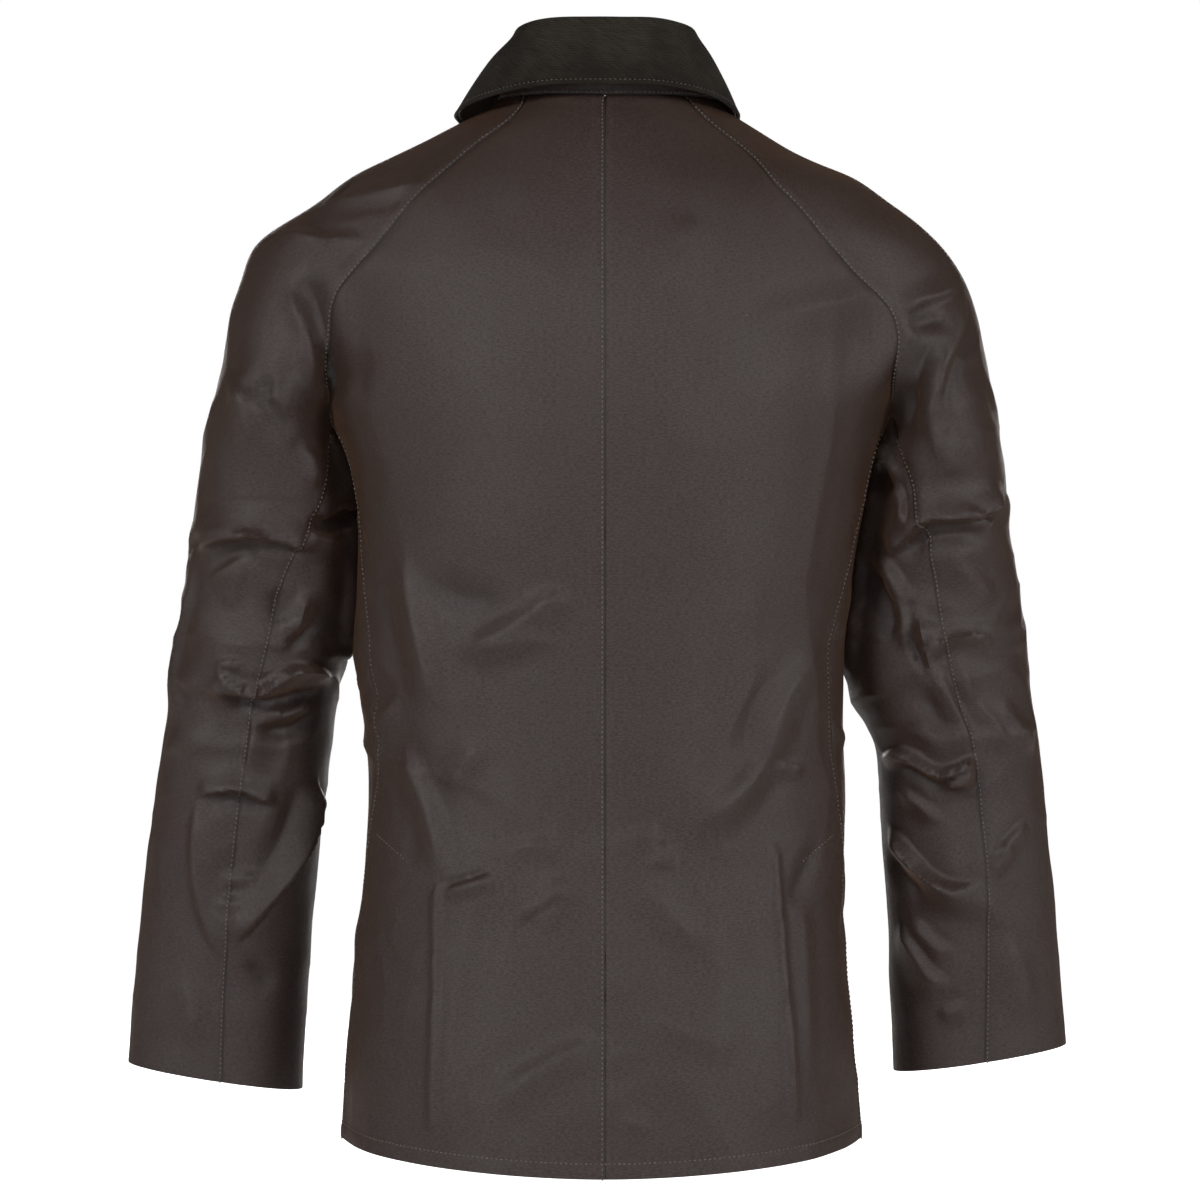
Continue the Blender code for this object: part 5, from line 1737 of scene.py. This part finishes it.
@dataclass(frozen=True)
class Thread:
    """A row of stitches' sizes.

    Attributes:
        pitch: from one stitch to the next.
        length: of a stitch that shows.
        width: of the thread.
        height: of the thread above the cloth.
        lift: the share of its height by which a stitch's middle stands off the cloth.
        wander: the largest random turn of a stitch, in radians.
    """

    pitch: float = 0.0034
    length: float = 0.0020
    width: float = 0.0011
    height: float = 0.0011
    lift: float = 0.2
    wander: float = 0.09

    def sew(self, array: PathArray, name: str, lines: list[Line], look: Finish, looks: Looks) -> None:
        """Sews rows of stitches as one piece.

        Args:
            array: the tree that lays them.
            name: the piece's name.
            lines: the rows.
            look: the thread's finish.
            looks: the materials.
        """
        lifted = [(points + ways * self.height * self.lift, ways) for points, ways in lines]
        made = array.lay(
            name, lifted, looks[look.name], Spacing=self.pitch, Length=self.length, Width=self.width,
            Height=self.height, Wander=self.wander)
        made.data.shade_smooth()
        finish_piece(made, look, looks)


# ---- the body and sleeves
VENT_TOP = -0.523  # height at which a side vent ends
SLEEVE_RUMPLES = (
    Rumples((13.0, 13.0, 26.0), 0.0021, -0.400, 0.085, 3.1),
    Rumples((14.0, 14.0, 17.0), 0.0017, -0.225, 0.070, 7.7),
    Rumples((17.0, 17.0, 21.0), 0.0010, -0.560, 0.075, 1.9),
)
BODY_RUMPLES = (
    Rumples((9.0, 9.0, 11.0), 0.0026, -0.440, 0.120, 4.4),
    Rumples((10.0, 10.0, 5.0), 0.0026, -0.660, 0.110, 9.2),
    Rumples((24.0, 24.0, 15.0), 0.0007, -0.590, 0.170, 5.3),
    Rumples((9.0, 9.0, 7.0), 0.0009, -0.200, 0.110, 2.6),
)
COLLAR_CORNER = (-0.012, -0.085, -0.075)  # a place near the first point of both collars' grids
SIDES = (("left", 1.0), ("right", -1.0))  # the wearer's sides, and the sign of X there


def both(make: Callable[[str, float], Panel]) -> list[Panel]:
    """The left and the right panel of a pair."""
    return [make(side, sign) for side, sign in SIDES]


@dataclass
class Body:
    """The shell of the jacket: two backs, two fronts, two sleeves, two vent laps and the under collar.

    Attributes:
        centre_inset: the centre back topstitch's distance from its seam.
        side_inset: the side seam's and vent edge's.
        raglan_inset: the raglan seams', on the sleeve.
        neck_inset: the neck seam's, on the under collar.
        zip_inset: the zip's, on the fronts.
        bar_tacks: slanted rows that hold the top of each vent, as two places across and up.
        panels: the panels by the names of their solids, once they are laid out.
    """

    centre_inset: float = 0.0027
    side_inset: float = 0.0068
    raglan_inset: float = 0.0021
    neck_inset: float = 0.0021
    zip_inset: float = 0.0090
    bar_tacks: tuple[tuple[float, ...], ...] = ((0.1585, -0.5135, 0.1370, -0.5300),)
    panels: dict[str, Panel] = field(default_factory=dict)

    def lay_out(self) -> None:
        """Reads every panel and shapes it."""
        first_row, last_row = Border.FIRST_ROW, Border.LAST_ROW
        first_column, last_column = Border.FIRST_COLUMN, Border.LAST_COLUMN
        top, under, hem, turned = Edge.ON_TOP, Edge.UNDER, Edge.HEM, Edge.TURNED

        def back(side: str, s: float) -> Panel:
            """Half back."""
            return Panel(
                f"back_{side}", Facing.BEHIND, (0.0, 0.14, -0.75), (s, 0, 0),
                {first_row: hem, last_row: under, first_column: top if s > 0 else under, last_column: top},
                "torso", (0.26, 0.77, 0.148), meets=(22, under), free_below=VENT_TOP, step=0.0023,
                rumples=BODY_RUMPLES)

        def front(side: str, s: float) -> Panel:
            """Front."""
            return Panel(
                f"front_{side}", Facing.AHEAD, (0.0, -0.14, -0.73), (s, 0, 0),
                {first_row: hem, last_row: under, first_column: turned, last_column: under},
                "torso", (0.30, 0.79, 0.164), free_below=VENT_TOP, rumples=BODY_RUMPLES)

        def sleeve(side: str, s: float) -> Panel:
            """One-piece raglan sleeve."""
            return Panel(
                f"sleeve_{side}", Facing.ALL_ROUND, (s * 0.056, 0.046, -0.008), (s * 0.5, -1, 0),
                {first_row: under, last_row: turned, first_column: top, last_column: top},
                f"sleeve_{side}", (0.44, 0.81, 0.256), meets=(13, under), step=0.0022, rumples=SLEEVE_RUMPLES)

        def lap(side: str, s: float) -> Panel:
            """Underlap behind a vent."""
            return Panel(
                f"vent_lap_{side}", Facing.BEHIND, (s * 0.15, 0.05, -0.72), (0, 0, 1), {first_column: hem}, "lap",
                (0.04, 0.20, 0.0078))

        made = [*both(back), *both(front), *both(sleeve), *both(lap)]
        made.append(Panel(
            "collar_under", Facing.DOWN, COLLAR_CORNER, (0, 0, 1), {first_column: top, last_column: turned}, "collar",
            (0.62, 0.115, 0.053), thickness=0.0012))
        for panel in made:
            panel.lay_out()
            self.panels[panel.node] = panel
        close_seams(made)
        share_borders(made)
        folds = CreaseField(made, CREASES)
        for panel in made:
            panel.shape(folds)
        press_sleeves(made)
        close_seams(made)
        share_borders(made)
        for panel in made:
            panel.tuck()

    def build(self, looks: Looks) -> None:
        """Makes the shells.

        Args:
            looks: the materials.
        """
        for name, panel in self.panels.items():
            piece = finish_piece(panel.build(), WAXED, looks)
            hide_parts(name)

    def seams(self) -> list[Line]:
        """Finds every topstitched row of the body.

        Returns:
            The rows.
        """
        rows = [self.panels["back_left"].line_in_from(Border.FIRST_COLUMN, self.centre_inset)]
        for side, s in SIDES:
            back, front = self.panels[f"back_{side}"], self.panels[f"front_{side}"]
            sleeve, lap = self.panels[f"sleeve_{side}"], self.panels[f"vent_lap_{side}"]
            rows += [panel.line_in_from(Border.FIRST_ROW, HEM_DEPTH) for panel in (back, front)]
            rows.append(back.line_in_from(Border.LAST_COLUMN, self.side_inset, 0.0, back.turn))
            rows.append(sleeve.line_in_from(Border.FIRST_COLUMN, self.raglan_inset))
            rows.append(sleeve.line_in_from(Border.LAST_COLUMN, self.raglan_inset, 0.0, sleeve.turn))
            rows.append(front.line_in_from(Border.FIRST_COLUMN, self.zip_inset))
            rows.append(lap.line_in_from(Border.FIRST_COLUMN, HEM_DEPTH))
            rows += [back.line_between((s * a, za), (s * b, zb)) for a, za, b, zb in self.bar_tacks]
        rows.append(self.panels["collar_under"].line_in_from(Border.FIRST_COLUMN, self.neck_inset))
        return rows


# ---- collar
@dataclass
class Collar:
    """Corduroy top collar, with its wales running round the neck.

    Attributes:
        wale: distance from one wale to the next.
        depth: of the grooves between wales.
        samples: points across a wale.
        stations: points round the neck.
        thickness: of its cloth.
        stitch_inset: the edge stitch's distance from the fall's edge.
        stitch_dent, stitch_width: how deep and how wide that stitch pulls the cloth in.
        stitch_lift: how far the stitches stand off the drawn-in cloth.
        lip: how far the edge outside the stitch stands up.
        slow_waves, quick_waves: waves to a metre of the wales' drift and of their depth.
        drift: how far the slow waves shift the wales, in radians.
        sway: how far they raise the cloth.
        uneven: the share of the wales' depth that the quick waves change.
        roundness: below 1 for full wales with narrow grooves.
    """

    wale: float = 0.0016
    depth: float = 0.0006
    samples: int = 9
    stations: int = 100
    thickness: float = CLOTH
    stitch_inset: float = 0.0036
    stitch_dent: float = 0.0006
    stitch_width: float = 0.0008
    stitch_lift: float = 0.0003
    lip: float = 0.0004
    slow_waves: float = 26.0
    quick_waves: float = 140.0
    drift: float = 0.35
    sway: float = 0.0011
    uneven: float = 0.3
    roundness: float = 0.6

    def build(self, looks: Looks, array: PathArray) -> None:
        """Makes the collar and its edge stitch.

        Args:
            looks: the materials.
            array: the tree that lays stitches.
        """
        grid = read_grid("collar_top", Facing.UP, COLLAR_CORNER, (0, 0, 1), self.thickness)
        round_neck = run_along(grid, 0).mean(1)
        profile = run_along(grid, 1).mean(0)
        stops = np.linspace(0, 1, round(profile[-1] / self.wale) * self.samples + 1)
        grid = refine(grid, 0, round_neck, np.linspace(0, 1, self.stations))
        grid = refine(grid, 1, profile, stops)
        normals = grid_normals(grid, 1.0)
        outward = 1.0 if normals[:, -1, 2].mean() > 0 else -1.0
        normals *= outward
        slow, quick = noise_at(grid, self.slow_waves), noise_at(grid, self.quick_waves)
        length = stops * profile[-1]
        pile = np.abs(np.sin(np.pi * length / self.wale + self.drift * slow)) ** self.roundness
        edge = profile[-1] - length
        seam = np.exp(-(((edge - self.stitch_inset) / self.stitch_width) ** 2))
        wales = self.depth * (pile - 1.0) * (1 - self.uneven / 2 + self.uneven * quick)
        height = wales + self.sway * slow - self.stitch_dent * seam
        height = height + self.lip * ease(1 - edge / self.stitch_inset)
        outer = grid + normals * height[..., None]
        uv = np.stack([np.broadcast_to(length, grid.shape[:2]), run_along(grid, 0)], axis=-1)
        # the wales' profile, from which the pile's material paints shade in the grooves
        shell = Shell(
            outer, normals, outward, uv, pile * 2 - 1, self.thickness, (1, self.samples),
            grid - normals * self.thickness)
        piece = shell.build("collar_top_cord")
        finish_piece(piece, CORD, looks)
        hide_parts("collar_top")
        k = int(np.argmin(np.abs(edge - self.stitch_inset)))
        row = (outer[:, k] + normals[:, k] * self.stitch_lift, normals[:, k])
        Thread(width=0.0007, height=0.0007).sew(array, "stitches_collar", [row], DARK_THREAD, looks)


# ---- zip
def bevelled_copy(node: str, name: str, width: float) -> bpy.types.Object:
    """A copy of a CAD node with its corners rounded.

    Args:
        node: the CAD node.
        name: the copy's name.
        width: the rounding.

    Returns:
        The copy, linked to the scene.
    """
    mesh = bmesh.new()
    mesh.from_mesh(bpy.data.objects[node].data)
    bmesh.ops.remove_doubles(mesh, verts=mesh.verts, dist=1e-6)
    bmesh.ops.dissolve_limit(mesh, angle_limit=math.radians(2), verts=mesh.verts, edges=mesh.edges)
    edges = [e for e in mesh.edges if len(e.link_faces) == 2 and e.calc_face_angle(0) > math.radians(25)]
    bmesh.ops.bevel(mesh, geom=edges, offset=width, segments=2, profile=0.6, affect="EDGES", clamp_overlap=True)
    data = bpy.data.meshes.new(name)
    mesh.to_mesh(data)
    mesh.free()
    data.shade_smooth()
    data.set_sharp_from_angle(angle=math.radians(40))
    return add_object(name, data)


@dataclass
class Zip:
    """The closed front zip: two tapes, its teeth, slider, pull and box.

    Attributes:
        looks: the materials.
        tooth: a tooth's width, thickness and height.
        tooth_pitch: from one tooth to the next on the other side.
        sideways: how far each side's teeth stand from the middle.
        rounding: of the metal parts' corners.
        tape_lines: distances from the middle of three lines of a tape's solid.
        tape_points: points of a tape along it and across it.
        tape_thickness: of a tape.
        chain_line: distance from the middle of the chain's corners.
    """

    looks: Looks
    tooth: Point = (0.0036, 0.0021, 0.00125)
    tooth_pitch: float = 0.0016
    sideways: float = 0.00055
    rounding: float = 0.00035
    tape_lines: Point = (0.0026, 0.0065, 0.016)
    tape_points: tuple[int, int] = (151, 15)
    tape_thickness: float = 0.0010
    chain_line: float = 0.0023

    @staticmethod
    def column(node: str, across: float) -> tuple[Array, Array]:
        """Reads a solid's corners at one distance from the middle.

        Args:
            node: the solid's name.
            across: that distance.

        Returns:
            Its outer and its inner line.
        """
        corners = np.unique([tuple(round(c, 5) for c in v.co) for v in bpy.data.objects[node].data.vertices], axis=0)
        at = corners[np.abs(corners[:, 0] - across) < 1e-4]
        at = at[np.argsort(-at[:, 2])]
        at = at[: len(at) // 2 * 2]
        return at[::2], at[1::2]

    def tapes(self) -> None:
        """Makes both tapes."""
        grid = np.stack([smooth_line(self.column("zip_tape_left", x)[0], 40) for x in self.tape_lines], axis=1)
        for side, s in SIDES:
            mine = grid * (s, 1.0, 1.0)
            for axis, count in enumerate(self.tape_points):
                mine = refine(mine, axis, run_along(mine, axis).mean(1 - axis), np.linspace(0, 1, count))
            normals = grid_normals(mine, 1.0)
            outward = -1.0 if normals[..., 1].mean() > 0 else 1.0
            normals *= outward
            uv = np.stack([run_along(mine, 1), run_along(mine, 0)], axis=-1)
            shell = Shell(mine, normals, outward, uv, np.zeros(mine.shape[:2]), self.tape_thickness)
            piece = shell.build(f"zip_tape_{side}_woven")
            finish_piece(piece, TAPE, self.looks)
            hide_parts(f"zip_tape_{side}")

    def chain(self) -> None:
        """Makes the teeth, in two rows that mesh."""
        outer, inner = self.column("zip_chain", self.chain_line)
        middle = (outer + inner) / 2 * (0.0, 1.0, 1.0)
        ahead = unit(outer - inner) * (0.0, 1.0, 1.0)
        middle = smooth_line(middle, 300)
        ahead = unit(smooth_line(ahead, 300))
        shape = bmesh.new()
        bmesh.ops.create_cube(shape, size=1.0)
        bmesh.ops.bevel(shape, geom=shape.edges[:], offset=0.16, segments=1, affect="EDGES")
        data = bpy.data.meshes.new("tooth")
        shape.to_mesh(data)
        shape.free()
        source = add_object("tooth", data)
        width, thick, tall = self.tooth
        made = PathArray("zip_teeth_array", source).lay(
            "zip_teeth", [(middle, ahead)], self.looks[BRASS.name], Spacing=self.tooth_pitch, Length=tall, Width=width,
            Height=thick, Wander=0.0, Sideways=self.sideways)
        bpy.data.objects.remove(source)
        made.data.set_sharp_from_angle(angle=math.radians(30))
        finish_piece(made, BRASS, self.looks)
        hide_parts("zip_chain")

    def metal(self) -> None:
        """Makes the slider, the box and the pull."""
        for node, body in (("zip_slider", "jacket"), ("zip_box", "jacket"), ("zip_pull", "pull")):
            piece = finish_piece(bevelled_copy(node, f"{node}_cast", self.rounding), BRASS, self.looks, body)
            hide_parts(node)

    def build(self) -> None:
        """Makes all of the zip."""
        self.tapes()
        self.chain()
        self.metal()


# ---- studio
WHITE = (1.0, 1.0, 1.0, 1.0)


@dataclass(frozen=True)
class Lamp:
    """A soft round light.

    Attributes:
        name: its name.
        place: where it stands.
        target: what it looks at.
        size: its width.
        power: in watts.
    """

    name: str
    place: Point
    target: Point
    size: float
    power: float

    def build(self) -> None:
        """Makes the light."""
        lamp = bpy.data.lights.new(self.name, "AREA")
        lamp.shape = "DISK"
        lamp.size = self.size
        lamp.energy = self.power
        made = add_object(self.name, lamp)
        made.location = self.place
        made.rotation_euler = (Vector(self.target) - Vector(self.place)).to_track_quat("-Z", "Y").to_euler()


LAMPS = (
    Lamp("key", (2.0, 2.8, 1.1), (0.0, 0.0, -0.35), 0.65, 45.0),
    Lamp("fill", (-2.2, 2.6, 0.8), (0.0, 0.0, -0.4), 0.65, 37.0),
    Lamp("side_left", (3.3, 0.7, 0.5), (0.0, 0.0, -0.35), 0.8, 8.0),
    Lamp("side_right", (-3.3, 0.7, 0.6), (0.0, 0.0, -0.35), 0.8, 11.0),
    Lamp("low", (0.2, 3.0, -0.9), (0.0, 0.0, -0.1), 0.9, 9.0),
    Lamp("front_left", (0.7, -3.2, 0.1), (0.0, 0.0, -0.35), 1.2, 24.0),
    Lamp("front_right", (-0.7, -3.2, 0.0), (0.0, 0.0, -0.35), 1.2, 17.0),
)


@dataclass
class Studio:
    """Pale floor, white surroundings, soft lights and the camera.

    Attributes:
        floor: its height.
        reach: half its width.
        floor_glow: how bright it is to the camera alone.
        eye: the camera's place.
        lens: its focal length in mm, on a sensor 36 mm wide.
        world: how bright the surroundings are, but to the camera.
    """

    floor: float = -0.95
    reach: float = 9.0
    floor_glow: float = 0.97
    eye: Point = (0.0035, 3.2, -0.3497)
    lens: float = 135.98
    world: float = 0.05

    def build(self) -> None:
        """Sets up the studio."""
        scene = bpy.context.scene
        self.lay_floor()
        scene.world = self.surroundings()
        for lamp in LAMPS:
            lamp.build()
        camera = add_object("camera", bpy.data.cameras.new("camera"))
        camera.data.sensor_width = 36.0
        camera.data.lens = self.lens
        camera.location = self.eye
        camera.rotation_euler = (math.radians(90), 0.0, math.radians(180))
        scene.camera = camera
        scene.view_settings.view_transform = "Standard"
        scene.view_settings.look = "None"

    def lay_floor(self) -> None:
        """Makes the floor, which looks white to the camera."""
        mesh = bpy.data.meshes.new("floor")
        corners = [(x * self.reach, y * self.reach, self.floor) for x, y in ((-1, -1), (1, -1), (1, 1), (-1, 1))]
        mesh.from_pydata(corners, [], [(0, 1, 2, 3)])
        paint = bpy.data.materials.new("floor_paint")
        paint.use_nodes = True
        graph = Graph(paint.node_tree)
        shade = graph.noise(graph.node("ShaderNodeTexCoord").outputs["Object"], 3.0)
        seen = graph.node("ShaderNodeLightPath").outputs["Is Camera Ray"]
        graph.feed(paint.node_tree.nodes["Principled BSDF"], {
            "Base Color": graph.colour(shade, (0.90, 0.90, 0.90, 1.0), (0.93, 0.93, 0.93, 1.0)),
            "Roughness": 0.9,
            "Emission Color": WHITE,
            "Emission Strength": graph.math("MULTIPLY", seen, self.floor_glow),
        })
        mesh.materials.append(paint)
        floor = add_object("floor", mesh)

    def surroundings(self) -> bpy.types.World:
        """Makes the surroundings, dim but white to the camera.

        Returns:
            The world.
        """
        made = bpy.data.worlds.new("studio")
        made.use_nodes = True
        sky = Graph(made.node_tree)
        seen = sky.node("ShaderNodeLightPath").outputs["Is Camera Ray"]
        glow = sky.math("MULTIPLY_ADD", seen, 1.0 - self.world, self.world)
        sky.feed(made.node_tree.nodes["Background"], {0: WHITE, 1: glow})
        return made


def main() -> None:
    """Builds the jacket's looks in order."""
    effects = Effects()
    looks = {look.name: look.material(effects) for look in (WAXED, TAPE, CORD, THREAD, DARK_THREAD, BRASS)}
    body = Body()
    body.lay_out()
    body.build(looks)
    array = PathArray("stitch_array")
    Thread().sew(array, "stitches_body", body.seams(), THREAD, looks)
    Collar().build(looks, array)
    Zip(looks).build()
    Studio().build()


if __name__ == "__main__":
    main()
